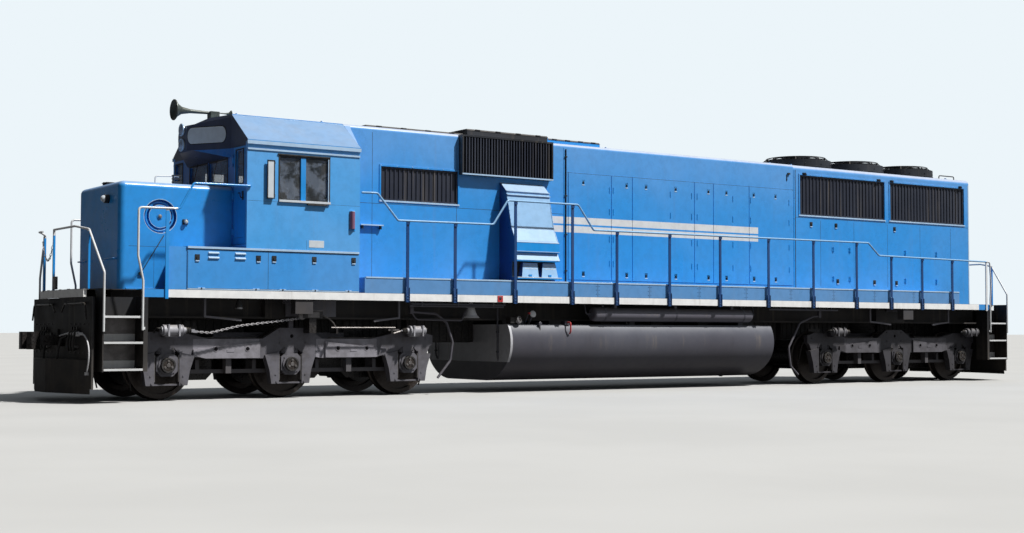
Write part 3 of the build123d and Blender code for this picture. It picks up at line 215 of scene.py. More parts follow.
def paint(name, colour, roughness=0.32, dust=0.3, dust_from=2.3, streaks=0.08, coat=0.12, waves=0.25,
          bands=(), worn=0.0, bloom=0.0, chalk=0.0):
    """Weathered paint: fading, rain streaks, dust on ledges and low down, and slightly wavy sheet metal.
    Paleness on faces that point up and on the upper parts is partly sun bleaching and partly a painted sheen
    of light. Each band is a function that makes a mask from the graph, and the colour painted there."""
    g = Graph(name)
    base = colour
    for mask, band_colour in bands:
        base = g.mix(mask(g), base, band_colour)
    base = g.mix(g.ramp(g.noise(0.55, 2.0), 0.3, 0.75, chalk * 0.7, 0.035 + chalk * 1.2), base, PALE)
    # sun bleaching and a painted sheen of light: paler on faces that point up and on the upper parts
    bleached_and_lit = g.both(g.ramp(g.normal[2], 0.12, 0.9), bloom)
    high = g.both(g.ramp(g.axes[2], 3.2, 4.4), bloom * 0.3)
    base = g.mix(g.either(bleached_and_lit, high), base, PALE)
    base = g.mix(g.both(g.ramp(g.noise(9.0, 4.0, 0.6), 0.35, 0.7), 0.1), base, MOTTLE)
    # rain streaks and soot on upright faces
    upright = g.ramp(g.math("ABSOLUTE", g.normal[2]), 0.35, 0.1)
    rain = g.ramp(g.noise(1.0, 4.0, 0.65, (7.0, 7.0, 0.28)), 0.54, 0.78)
    base = g.mix(g.both(rain, upright, streaks), base, DUST)
    soot = g.ramp(g.noise(1.0, 3.0, 0.6, (4.0, 4.0, 0.2)), 0.58, 0.8)
    base = g.mix(g.both(soot, upright, streaks * 0.8), base, GRIME)
    # dust on ledges and low down
    low = g.ramp(g.axes[2], dust_from, dust_from - 1.3)
    ledge = g.ramp(g.normal[2], 0.25, 0.95)
    patchy = g.ramp(g.noise(3.5, 5.0, 0.65), 0.25, 0.75, 0.35, 1.0)
    settled = g.both(g.either(g.both(low, 0.35), ledge), patchy)
    settled = g.math("MULTIPLY", settled, dust, clamp=True)
    base = g.mix(settled, base, DUST)
    if worn:
        base = g.mix(g.both(g.ramp(g.noise(38.0, 6.0, 0.75), 0.66, 0.72), worn), base, CHIPPED)
    shine = g.ramp(g.noise(2.2, 4.0, 0.6), 0.3, 0.8, roughness - 0.06, roughness + 0.12)
    shine = g.math("ADD", shine, g.both(settled, 0.6), clamp=True)
    sheet = g.bump(g.noise(1.7, 1.0, 0.4), waves, 0.03)
    grain = g.bump(g.noise(140.0, 3.0, 0.6), 0.1, 0.001, Normal=sheet)
    g.shade(Base_Color=base, Roughness=shine, Specular_IOR_Level=0.35, Coat_Weight=coat, Coat_Roughness=0.12,
            Normal=grain)
    return g.material


def matt(name, colour, roughness=0.5, dust_from=1.6, streaks=0.2, coat=0.1, waves=0.05, **more):
    """Duller paint, as on the frame and on small fittings."""
    return paint(name, colour, roughness, dust_from=dust_from, streaks=streaks, coat=coat, waves=waves,
                 **more)


def metal(name, colour, roughness=0.45, metallic=0.6, grime=0.5, dust=0.3, lumps=0.25, darker_behind=False,
          bands=()):
    """Cast or rolled metal with oily grime in patches and pale dust on ledges."""
    g = Graph(name)
    base = colour
    for mask, band_colour in bands:
        base = g.mix(mask(g), base, band_colour)
    base = g.mix(g.both(g.ramp(g.noise(4.5, 6.0, 0.65), 0.38, 0.66), grime), base, GRIME)
    fine = g.ramp(g.noise(30.0, 5.0, 0.7), 0.35, 0.75)
    base = g.mix(g.both(fine, 0.25), base, FILM)
    patchy = g.ramp(g.noise(6.0, 4.0, 0.6), 0.3, 0.75, 0.3, 1.0)
    settled = g.both(g.ramp(g.normal[2], 0.2, 0.9), patchy, dust)
    base = g.mix(settled, base, DUST)
    # darker towards the rear of the locomotive
    if darker_behind:
        base = g.mix(g.ramp(g.axes[0], 2.0, -4.0, 0.0, 0.62), base, DARKER_TOWARDS_REAR)
    shine = g.ramp(fine, 0.0, 1.0, roughness - 0.08, roughness + 0.12)
    shine = g.math("ADD", shine, g.both(settled, 0.3), clamp=True)
    coarse = g.bump(g.noise(12.0, 4.0, 0.6), lumps, 0.004)
    grain = g.bump(g.noise(60.0, 3.0, 0.65), 0.3, 0.0012, Normal=coarse)
    g.shade(Base_Color=base, Roughness=shine, Metallic=metallic, Normal=grain)
    return g.material


def glass(name, tint, roughness, alpha):
    """Window or lens glass with wiper smears and hazy patches. Faces that point forward get the pale tint all
    over, as a painted reflection of the sky.
    """
    g = Graph(name)
    smear = g.ramp(g.noise(5.0, 4.0, 0.6, (1.0, 1.0, 0.6)), 0.35, 0.75)
    haze_and_reflection = g.ramp(g.noise(3.4, 6.0, 0.75), 0.44, 0.54, 0.0, 0.75)
    # forward faces: the pale tint as a painted sky reflection
    haze_and_reflection = g.either(haze_and_reflection, g.ramp(g.normal[0], 0.5, 0.8, 0.0, 0.95))
    g.shade(Base_Color=g.mix(g.both(smear, 0.18), g.mix(haze_and_reflection, tint, HAZE_AND_REFLECTION), DUST),
            Roughness=g.ramp(smear, 0.0, 1.0, roughness, roughness + 0.12),
            Alpha=g.ramp(smear, 0.0, 1.0, alpha, alpha + 0.12), Specular_IOR_Level=0.9)
    return g.material


# Masks for places that are painted in another colour
def sill_face(g):
    """The outer faces of the sills."""
    high = g.both(g.height(SILL - 0.001, DECK - 0.003), g.math("LESS_THAN", g.normal[2], 0.5))
    return g.both(high, g.either(g.beyond(1, SIDE - 0.002), g.beyond(0, 10.2)))


def sill_corner(g):
    """The blue end of each sill, beside the steps."""
    return g.both(sill_face(g), g.between(0, 9.19, 9.9))


def sill_band(g):
    """The white sill stripe and the end platforms' white bands."""
    return g.both(sill_face(g), g.outside(sill_corner(g)))


def stripes(g):
    """The two white stripes along each side of the engine hood."""
    bands = g.either(g.height(2.805, 2.925), g.height(2.958, 3.085))
    return g.both(bands, g.both(g.inside(0, -3.2, 1.98), g.beyond(1, HOOD_Y - 0.012)))


def brake_chain(g):
    """The bright hand brake chain beside the dark brake rods."""
    return g.beyond(1, 1.2)


def step_rails(g):
    """White paint on the step rails. Their posts on the end platforms stay blue."""
    post = g.both(g.inside(0, 9.16, 9.22), g.height(0, 2.79))
    at_steps = g.both(g.beyond(0, 9.04), g.outside(g.beyond(0, 10.18)), g.outside(post))
    slanting = g.both(g.beyond(0, 10.05), g.either(g.beyond(1, 1.1), g.beyond(2, R + 2.47)))
    return g.either(at_steps, slanting)


def roof_sheen_and_bleach(g):
    """The pale edge and upper faces of the hood's roof: a painted highlight where the faces turn up, with
    some sun bleaching.
    """
    return g.both(g.ramp(g.normal[2], 0.15, 0.6, 0.0, 0.8), g.beyond(2, R + 4.24))


def sloping(g):
    """Sheets that lean back, as on the blower duct, painted pale as a sheen of light on faces that point up.
    """
    return g.ramp(g.normal[2], 0.04, 0.16)


def walkway_duct(g):
    """The duct behind the cab, which is greyer than the cabinets."""
    return g.inside(0, -8.6, 5.97)


def hangers(g):
    """Grey bars and plates that hang between the beams and the sills."""
    low = g.both(g.height(0, SILL - 0.004), g.outside(g.beyond(0, 9.4)))
    return g.both(g.between(1, 1.03, 1.46), low)


def bar_fronts(g):
    """The lighter outer faces of the grilles' bars."""
    return g.either(g.between(1, 0.905, 0.93), g.between(1, 1.025, 1.0565))


def rail_top_highlight(g):
    """The upper part of a lengthwise handrail: a painted highlight, with bleaching and dust. Posts don't have
    one.
    """
    side = g.both(g.ramp(g.normal[2], -0.03, -0.12), g.ramp(g.normal[2], -0.8, -0.55))
    return g.either(g.ramp(g.normal[2], 0.03, 0.12), side)


def rail_under_shade(g):
    """The underside of a handrail, painted darker as shade."""
    return g.ramp(g.normal[2], -0.6, -0.85)


def brake_cylinders(g):
    """The bright brake cylinders on the trucks."""
    return g.both(g.beyond(1, 1.225), g.height(0.9, 1.16))


def beams(g):
    """The truck frames' faces between the axle boxes, painted lighter as a pool of sunlight."""
    return g.both(g.either(g.between(0, 5.45, 6.54), g.between(0, 7.52, 8.6)), g.height(0.58, 0.9))


def jack_pads(g):
    """The dark plates under the sills over the middle of each truck."""
    return g.both(g.between(0, 6.78, 7.12), g.both(g.beyond(1, 1.32), g.height(1.175, SILL - 0.004)))


def rear_hatch(g):
    """The blue sides of the hatch behind the raised middle of the roof."""
    return g.both(g.inside(0, -4.0, 1.86), g.ramp(g.normal[2], 0.6, 0.4))


def forward_face_shade(g):
    """Painted shade: a dark blue on the forward side of the blower duct."""
    return g.ramp(g.normal[0], 0.6, 0.85)


def housing_and_brow_shade(g):
    """Painted shade: near-black on the forward faces of the lamp and number board housing high on the cab,
    and on the downward faces of the brow in front of the cab.
    """
    front = g.both(g.ramp(g.normal[0], 0.35, 0.6), g.beyond(2, R + 3.86))
    brow = g.both(g.ramp(g.normal[2], -0.2, -0.5), g.beyond(2, R + 3.5))
    return g.either(front, g.both(brow, g.beyond(0, 7.6)))


def tank_rim(g):
    """A pale band round the front end of the fuel tank, at its lip."""
    return g.both(g.inside(0, 2.955, 3.005), g.height(0.5, 1.2))


BLUE = srgb(24, 146, 228)
WHITE = srgb(222, 224, 226)
BLACK = srgb(30, 30, 33)
# Near-black painted shade on the lamp housing and under the brow of the cab.
HOUSING_SHADE = (housing_and_brow_shade, srgb(22, 30, 66))

# Metals are given their roughness, metallic share and grime
MATERIALS = {
    "blue": paint("blue_paint", BLUE, bloom=0.4),
    "roof": paint("cab_roof_paint", srgb(40, 132, 196), bloom=0.3, bands=(HOUSING_SHADE,)),
    "cab": paint("cab_paint", srgb(30, 158, 236), bloom=0.3, chalk=0.11),
    # The cab's front wall is painted a darker blue than its sides, as shade on the forward face.
    "cab_front": paint("cab_front_shaded_paint", srgb(20, 112, 196), bloom=0.3, bands=(HOUSING_SHADE,)),
    "cabinet": paint("cabinet_paint", BLUE, bloom=0.4, chalk=0.07,
                     bands=((walkway_duct, srgb(76, 142, 204)),)),
    # The duct's leaning faces are pale as a painted sheen, and its forward side is dark as painted shade.
    "duct": paint("blower_duct_paint", BLUE, bloom=0.3,
                  bands=((sloping, srgb(146, 188, 228)), (forward_face_shade, srgb(26, 60, 122)))),
    # The pale roof band is a painted highlight with some sun bleaching.
    "hood": paint("hood_paint", BLUE, bloom=0.4, chalk=0.05,
                  bands=((stripes, WHITE), (roof_sheen_and_bleach, srgb(190, 198, 222)))),
    "chassis": matt("chassis_paint", BLACK, 0.6, 2.2, 0.25, coat=0.0, dust=0.55, worn=0.3,
                    bands=((sill_band, srgb(248, 249, 250)), (sill_corner, BLUE),
                           (hangers, srgb(112, 112, 122)), (jack_pads, srgb(46, 45, 52)))),
    "pilot": matt("pilot_paint", BLACK, 0.6, streaks=0.25, coat=0.0, dust=0.5, worn=0.4),
    "hatch": matt("hatch_paint", srgb(40, 41, 46), bands=((rear_hatch, BLUE),)),
    "black": matt("black_paint", srgb(26, 27, 30)),
    "tank": matt("tank_paint", srgb(78, 77, 86), 0.36, 1.0, 0.3, coat=0.15, waves=0.18, dust=0.4,
                 worn=0.15, bloom=0.25, bands=((tank_rim, srgb(190, 190, 196)),)),
    "reservoir": matt("reservoir_paint", srgb(100, 98, 108), 0.4, 1.0, 0.3, coat=0.15, waves=0.1, dust=0.4,
                      worn=0.15),
    "white": matt("white_paint", WHITE, 0.4, 1.7, coat=0.2, worn=0.3),
    # Rails: the dark blue stands in for shade on the posts, the pale band is a painted highlight on the tops
    # and the darker one painted shade underneath.
    "rails": matt("rail_paint", srgb(24, 66, 122), 0.3, 1.7, 0.1, coat=0.3, waves=0.0, dust=0.25,
                  bands=((rail_top_highlight, srgb(150, 198, 240)), (rail_under_shade, srgb(24, 52, 98)))),
    "step_rails": matt("step_rail_paint", BLUE, 0.35, 1.5, 0.1, coat=0.3, waves=0.0, dust=0.2, worn=0.15,
                       bands=((step_rails, WHITE),)),
    "brakes": matt("brake_paint", srgb(78, 77, 84), 0.6, coat=0.0, dust=0.4, worn=0.3,
                   bands=((brake_chain, srgb(186, 184, 188)),)),
    "grille": matt("grille_paint", srgb(30, 31, 36), 0.45, 2.0, 0.3, waves=0.0, dust=0.25,
                   bands=((bar_fronts, srgb(40, 44, 58)),)),
    "inside": matt("cab_inside_paint", srgb(150, 162, 152), 0.5, 1.0, 0.05, coat=0.0, dust=0.1),
    "seat": matt("seat_cloth", srgb(205, 198, 186), 0.75, 1.0, 0.0, coat=0.0, waves=0.4, dust=0.1),
    "red": matt("red_paint", srgb(188, 48, 52), 0.4, 1.6, 0.1, coat=0.2, waves=0.0, dust=0.25),
    "marker": matt("marker_lens", srgb(134, 92, 118), 0.25, 1.6, 0.1, coat=0.4, waves=0.0, dust=0.2),
    "board": matt("number_board", srgb(208, 216, 224), 0.4, 1.0, 0.05, waves=0.0, dust=0.05),
    # Pale blue strips on edges, lips, gutters, handles and rims: painted highlights.
    "highlight_edge": matt("blue_edge_painted_highlight", srgb(176, 206, 236), 0.3, 1.6, 0.1, coat=0.2, waves=0.0, dust=0.2),
    "window": glass("window_glass", srgb(60, 66, 72), 0.03, 0.28),
    "lens": glass("lens_glass", srgb(220, 228, 226), 0.08, 0.75),
    "truck": metal("truck_steel", srgb(104, 103, 112), 0.6, 0.1, 0.4, dust=0.4, darker_behind=True,
                   bands=((beams, srgb(152, 150, 160)), (brake_cylinders, srgb(164, 164, 172)))),
    "wheel": metal("wheel_steel", srgb(62, 54, 50), 0.42, 0.5, 0.6, dust=0.2),
    "bright": metal("bright_steel", srgb(170, 168, 170), 0.35, 0.7, 0.35, dust=0.35, lumps=0.1),
    "oily": metal("oily_steel", srgb(44, 42, 44), 0.35, 0.4, 0.5, dust=0.2),
    "horn": metal("horn_metal", srgb(72, 84, 80), 0.45, 0.3, 0.4),
    # The bell is near-white and hardly metallic so that it looks sunlit in the shade under the deck: painted
    # light.
    "bell": metal("bell_metal", srgb(232, 232, 236), 0.3, 0.1, 0.15, dust=0.2),
    "engine": metal("engine_paint", srgb(110, 112, 112), 0.5, 0.1, 0.4),
    "rubber": metal("rubber_hose", srgb(32, 32, 34), 0.62, 0.0, 0.3, dust=0.35, lumps=0.05),
    "pipe": metal("grey_pipe", srgb(92, 90, 100), 0.5, 0.1, 0.2, dust=0.2, lumps=0.05),
    # The jumper hoses are near-white so that they look sunlit on the shaded pilot: painted light.
    "hose": metal("jumper_hose_painted_light", srgb(222, 222, 226), 0.5, 0.0, 0.15, dust=0.1, lumps=0.05),
    "gasket": metal("window_rubber", srgb(24, 24, 26), 0.6, 0.0, 0.2, dust=0.2, lumps=0.02),
    "worn": metal("worn_steel", srgb(128, 124, 124), 0.42, 0.45, 0.5, lumps=0.1, darker_behind=True),
}

# The look of each node, found by its full name or else by its first word
NODE_LOOKS = {
    "underframe": "chassis", "fuel_tank": "tank", "air_reservoirs": "reservoir", "sand_pipes": "pipe",
    "side_cabinets": "cabinet", "nose": "blue", "cab_front_wall": "cab_front", "cab_roof": "roof",
    "cab_glass": "window", "cab_seats": "seat", "cab": "cab", "control_stand": "inside",
    "front_door": "blue", "front_door_glass": "window", "rear_door": "cab", "rear_door_glass": "window",
    "hood_front": "hood", "engine_hood": "hood", "radiator_hood": "hood", "hood_grilles": "grille",
    "blower_duct": "duct", "roof_hatches": "hatch", "fan_housings": "grille", "fan": "grille",
    "engine_block": "engine", "side_handrails": "rails", "end_handrails": "step_rails",
    "hand_brake": "blue", "bell": "bell", "horn": "horn", "headlamps": "lens", "pilot": "pilot",
    "coupler": "oily", "truck": "truck", "motors": "oily", "brakes": "brakes", "wheelset": "wheel",
}


def dress_nodes():
    """Gives each carried-over node its finished material."""
    for name, node in nodes.items():
        look = NODE_LOOKS.get(name) or NODE_LOOKS[name.split("_")[0]]
        if not node.material_slots:
            node.data.materials.append(MATERIALS[look])
        for number in range(len(node.material_slots)):
            node.material_slots[number].link = "OBJECT"
            node.material_slots[number].material = MATERIALS[look]


# Mesh building
def rounded(corners, bend):
    """A line of points with each corner replaced by a short curve."""
    path = [corners[0]]
    for before, corner, after in zip(corners[:-2], corners[1:-1], corners[2:]):
        back, ahead = before - corner, after - corner
        reach = min(bend, back.length * 0.45, ahead.length * 0.45)
        start, end = corner + back.normalized() * reach, corner + ahead.normalized() * reach
        for step in range(5):
            t = step / 4
            path.append((1 - t) ** 2 * start + 2 * t * (1 - t) * corner + t ** 2 * end)
    path.append(corners[-1])
    return path


def circle(count, radius=1.0, start=0.0):
    """Points round a circle, as pairs."""
    angles = [start + 2 * math.pi * k / count for k in range(count)]
    return [(radius * math.cos(a), radius * math.sin(a)) for a in angles]


class Build:
    """Collects shapes into one mesh. Their heights are counted from the rail head. In a loop over sides() or
    ends() their y counts outwards on that side, and their x towards that end."""

    side = 1
    end = 1

    def __init__(self, name, look, bevel=0.0, body=LOCO):
        self.name = name
        self.look = look
        self.bevel = bevel
        self.body = body
        self.mesh = bmesh.new()

    def at(self, point):
        x, y, z = point
        return Vector((x * Build.end, y * Build.side, z + R))

    def turn(self, direction):
        """The rotation from straight up to a direction."""
        x, y, z = direction
        return Vector((x * Build.end, y * Build.side, z)).to_track_quat("Z", "Y").to_matrix()

    def loops(self, rows, closed=False):
        """Makes closed rows of points and the faces between them."""
        rows = [[self.mesh.verts.new(point) for point in row] for row in rows]
        faces = []
        for low, high in zip(rows, rows[1:] + rows[:1] if closed else rows[1:]):
            for i in range(max(len(low), len(high))):
                k = i + 1
                corners = [low[i % len(low)], low[k % len(low)], high[k % len(high)], high[i % len(high)]]
                corners = list(dict.fromkeys(corners))
                if len(corners) > 2:
                    faces.append(self.mesh.faces.new(corners))
        return rows, faces

    def box(self, x0, x1, y0, y1, z0, z1):
        """A box between two corners."""
        centre = self.at(((x0 + x1) / 2, (y0 + y1) / 2, (z0 + z1) / 2))
        size = Matrix.Diagonal((abs(x1 - x0), abs(y1 - y0), abs(z1 - z0), 1.0))
        bmesh.ops.create_cube(self.mesh, matrix=Matrix.Translation(centre) @ size)

    def bar(self, x, half, y0, y1, z0, z1):
        """A box that reaches equally far to both sides of x."""
        self.box(x - half, x + half, y0, y1, z0, z1)

    def rod(self, start, end, radius, segments=14):
        """A round bar between two points."""
        start, end = self.at(start), self.at(end)
        line = end - start
        place = Matrix.Translation((start + end) / 2) @ line.to_track_quat("Z", "Y").to_matrix().to_4x4()
        bmesh.ops.create_cone(self.mesh, cap_ends=True, segments=segments, radius1=radius, radius2=radius,
                              depth=line.length, matrix=place)

    def ring(self, centre, direction, radius, thickness, segments=48, sides=6):
        """A torus."""
        turn = self.turn(direction)
        rows = []
        for x, y in circle(segments):
            reach = [(radius + across, up) for across, up in circle(sides, thickness)]
            rows.append([self.at(centre) + turn @ Vector((r * x, r * y, up)) for r, up in reach])
        bmesh.ops.recalc_face_normals(self.mesh, faces=self.loops(rows, closed=True)[1])

    def slab(self, outline, start, end):
        """An outline of points in space, swept from one offset to another."""
        near = [self.mesh.verts.new(self.at(Vector(point) + Vector(start))) for point in outline]
        far = [self.mesh.verts.new(self.at(Vector(point) + Vector(end))) for point in outline]
        faces = [self.mesh.faces.new(near[::-1]), self.mesh.faces.new(far)]
        for i in range(len(outline)):
            k = (i + 1) % len(outline)
            faces.append(self.mesh.faces.new((near[i], near[k], far[k], far[i])))
        bmesh.ops.recalc_face_normals(self.mesh, faces=faces)

    def prism(self, outline, axis, low, high):
        """An outline of pairs on the two other axes, extruded along the x or the z axis."""
        if axis == 0:
            self.slab([(0, y, z) for y, z in outline], (low, 0, 0), (high, 0, 0))
        else:
            self.slab([(x, y, 0) for x, y in outline], (0, 0, low), (0, 0, high))

    def lathe(self, profile, origin, direction=OUT, segments=32, closed=True):
        """A profile of (distance along direction, radius) pairs, turned round. One that isn't a loop gets
        closed on the axis at both ends."""
        if closed and profile[0] != profile[-1]:
            profile = [(profile[0][0], 0)] + profile
            if profile[-1][1]:
                profile = profile + [(profile[-1][0], 0)]
        turn = self.turn(direction)
        rows = []
        for along, radius in profile:
            rim = circle(segments, radius) if radius else [(0, 0)]
            rows.append([self.at(origin) + turn @ Vector((x, y, along)) for x, y in rim])
        bmesh.ops.recalc_face_normals(self.mesh, faces=self.loops(rows)[1])

    def tube(self, points, radius, sides=10, bend=0.05):
        """A round tube along a line of points whose corners are rounded."""
        path = rounded([self.at(point) for point in points], bend)
        rows = []
        normal = (path[1] - path[0]).normalized().orthogonal().normalized()
        for i, point in enumerate(path):
            ahead = (path[min(i + 1, len(path) - 1)] - path[max(i - 1, 0)]).normalized()
            normal = (normal - ahead * normal.dot(ahead)).normalized()
            other = ahead.cross(normal)
            rows.append([point + radius * (x * normal + y * other) for x, y in circle(sides)])
        rows = self.loops(rows)[0]
        self.mesh.faces.new(rows[0][::-1])
        self.mesh.faces.new(rows[-1])

    def bolt(self, centre, direction=OUT, radius=0.012, height=0.01):
        """A hexagonal bolt head on its washer."""
        centre, direction = Vector(centre), Vector(direction).normalized()
        self.rod(centre, centre + direction * height * 0.3, radius * 1.35, 12)
        self.rod(centre + direction * height * 0.3, centre + direction * height, radius, 6)

    def done(self):
        """Makes the object, softens its edges and puts it on its body."""
        data = bpy.data.meshes.new(self.name)
        self.mesh.to_mesh(data)
        self.mesh.free()
        data.materials.append(MATERIALS[self.look])
        for polygon in data.polygons:
            polygon.use_smooth = True
        data.set_sharp_from_angle(angle=math.radians(35))
        thing = bpy.data.objects.new(self.name, data)
        bpy.context.scene.collection.objects.link(thing)
        if self.bevel:
            soften = thing.modifiers.new("soft_edges", "BEVEL")
            soften.width = self.bevel
            soften.segments = 1
            soften.limit_method = "ANGLE"
            soften.angle_limit = math.radians(40)
            soften.harden_normals = False
        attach(thing, self.body)
        return thing


def sides():
    """The left side, then the right."""
    for side in (1, -1):
        Build.side = side
        yield side
    Build.side = 1


def ends():
    """The front end, then the rear."""
    for end in (1, -1):
        Build.end = end
        yield end
    Build.end = 1


def finish(*builds):
    for build in builds:
        build.done()


# Light, world and floor
def make_stage():
    scene = bpy.context.scene
    scene.view_settings.view_transform = "Standard"
    scene.world = bpy.data.worlds.new("world")
    scene.world.use_nodes = True
    tree = scene.world.node_tree
    tree.nodes.clear()
    # the sky is seen as a plain pale colour, and lights the rear more than the front
    direction = add_node(tree, "ShaderNodeTexCoord").outputs["Generated"]
    parts = add_node(tree, "ShaderNodeSeparateXYZ", Vector=direction)
    ahead = add_node(tree, "ShaderNodeMapRange", Value=parts.outputs[0], From_Min=-0.2, From_Max=0.7,
                     To_Min=0.34, To_Max=0.03)
    ambient = add_node(tree, "ShaderNodeBackground", Color=(0.86, 0.93, 1.0, 1.0), Strength=ahead.outputs[0])
    seen = add_node(tree, "ShaderNodeBackground", Color=srgb(236, 245, 250), Strength=1.0)
    blend = add_node(tree, "ShaderNodeMixShader")
    camera_ray = add_node(tree, "ShaderNodeLightPath").outputs["Is Camera Ray"]
    for socket, output in zip(blend.inputs, (camera_ray, ambient.outputs[0], seen.outputs[0])):
        tree.links.new(output, socket)
    add_node(tree, "ShaderNodeOutputWorld", Surface=blend.outputs[0])

    key_data = bpy.data.lights.new("key", "SUN")
    key_data.energy = 4.9
    key_data.angle = math.radians(2.5)
    key_data.color = (1.0, 0.98, 0.94)
    key = bpy.data.objects.new("key", key_data)
    scene.collection.objects.link(key)
    key.rotation_mode = "QUATERNION"
    rays = Vector((0.364, -0.457, -0.812))
    key.rotation_quaternion = rays.to_track_quat("-Z", "Y")

    floor_data = bpy.data.meshes.new("floor")
    half = 600.0
    corners = [(-half, -half, 0), (half, -half, 0), (half, half, 0), (-half, half, 0)]
    floor_data.from_pydata(corners, [], [(0, 1, 2, 3)])
    floor = bpy.data.objects.new("floor", floor_data)
    scene.collection.objects.link(floor)
    floor.location.z = -0.002
    g = Graph("floor")
    camera_ray = add_node(g.tree, "ShaderNodeLightPath").outputs["Is Camera Ray"]
    tone = g.mix(g.ramp(g.noise(0.35), 0.3, 0.7), srgb(184, 184, 183), srgb(189, 189, 188))
    g.shade(Base_Color=g.mix(camera_ray, (0.1, 0.098, 0.096, 1.0), tone), Roughness=0.9)
    floor_data.materials.append(g.material)


# Places in a row
def spread(low, high, count):
    """The middles of equal lengths between two values."""
    return [low + (high - low) * (k + 0.5) / count for k in range(count)]


def row(first, step, count):
    return [first + step * k for k in range(count)]


# Small fittings that many places share
SEAM = 0.0008


def plate(b, y, x0, x1, z0, z1, out=0.004):
    """A thin plate on a side face at distance y from the middle."""
    b.box(x0, x1, y - 0.002, y + out, z0, z1)


def seam(b, y, x, z0, z1):
    """An upright joint between two sheets."""
    plate(b, y, x - 0.003, x + 0.003, z0, z1, SEAM)


def latch(black, bright, y, x, z):
    """A recessed paddle latch: a dark cup with its handle."""
    black.bar(x, 0.036, y - 0.002, y + 0.01, z - 0.04, z + 0.046)
    black.bar(x, 0.014, y + 0.009, y + 0.022, z - 0.026, z + 0.012)
    bright.bar(x, 0.03, y - 0.002, y + 0.014, z - 0.06, z - 0.042)


def hinge(b, y, x, z):
    """A door hinge: two leaves, a barrel and its bolts."""
    b.bar(x, 0.035, y - 0.002, y + 0.006, z - 0.05, z + 0.05)
    b.rod((x, y + 0.01, z - 0.055), (x, y + 0.01, z + 0.055), 0.01, 10)
    for dx in (-0.024, 0.024):
        for dz in (-0.032, 0.032):
            b.bolt((x + dx, y + 0.006, z + dz), OUT, 0.006, 0.005)


def louvre(b, y, x0, x1, z):
    """One pressed louvre with a sloping hood."""
    b.prism([(y - 0.001, z - 0.016), (y + 0.02, z - 0.014), (y + 0.022, z - 0.004), (y - 0.001, z + 0.018)],
            0, x0, x1)


def hoop(b, inner, outer, half, origin, direction, segments):
    """A flat-sided ring."""
    corners = [(-half, inner), (-half, outer), (half, outer), (half, inner)]
    b.lathe(corners + corners[:1], origin, direction, segments)


def lifting_lug(b, x, z):
    """A plate lug with an eye."""
    y = 0.55
    hoop(b, 0.014, 0.034, 0.008, (x, y, z + 0.03), AHEAD, 20)
    b.bar(x, 0.008, y - 0.034, y + 0.034, z - 0.002, z + 0.012)


def frame_bars(x0, x1, z0, z1, across, up):
    """The top, bottom and sides of a frame round an opening."""
    return ((x0 - across, x1 + across, z1, z1 + up), (x0 - across, x1 + across, z0 - up, z0),
            (x0 - across, x0, z0, z1), (x1, x1 + across, z0, z1))


# Long hood: doors, latches, hinges and seams
# All are places along x. A radiator latch has its height too, and a grille its rear, front, foot and top.
ENGINE_SEAMS = (0.976, -0.49, -0.938, -1.42, -2.49, -3.56)
ENGINE_LATCHES = (1.12, 0.12, -0.345, -1.07, -1.895, -2.36, -3.087, -3.677)
ENGINE_HINGES = (0.52, 0.43, -0.94, -1.47, -1.61, -2.53, -3.0, -4.05)
RADIATOR_SEAMS = (-4.95, -5.93, -6.95, -7.98, -8.98)
RADIATOR_LATCHES = ((-4.68, 3.215), (-5.4, 3.215), (-7.17, 3.215), (-5.44, 2.068), (-6.54, 2.068),
                    (-7.22, 2.068))
RADIATOR_HINGES = (-5.31, -5.8, -7.5, -8.5)
SIDE_GRILLES = ((3.8, 5.3, 3.19, 3.75), (-6.86, -4.36, 3.395, 4.2), (-9.43, -7.035, 3.395, 4.2))
POSTS = (5.12, 4.21, 3.0, 1.79, 0.8, -0.43, -1.67, -2.92, -4.14, -5.37, -6.4, -7.35, -8.31)
FANS = (-5.2, -6.8, -8.4)


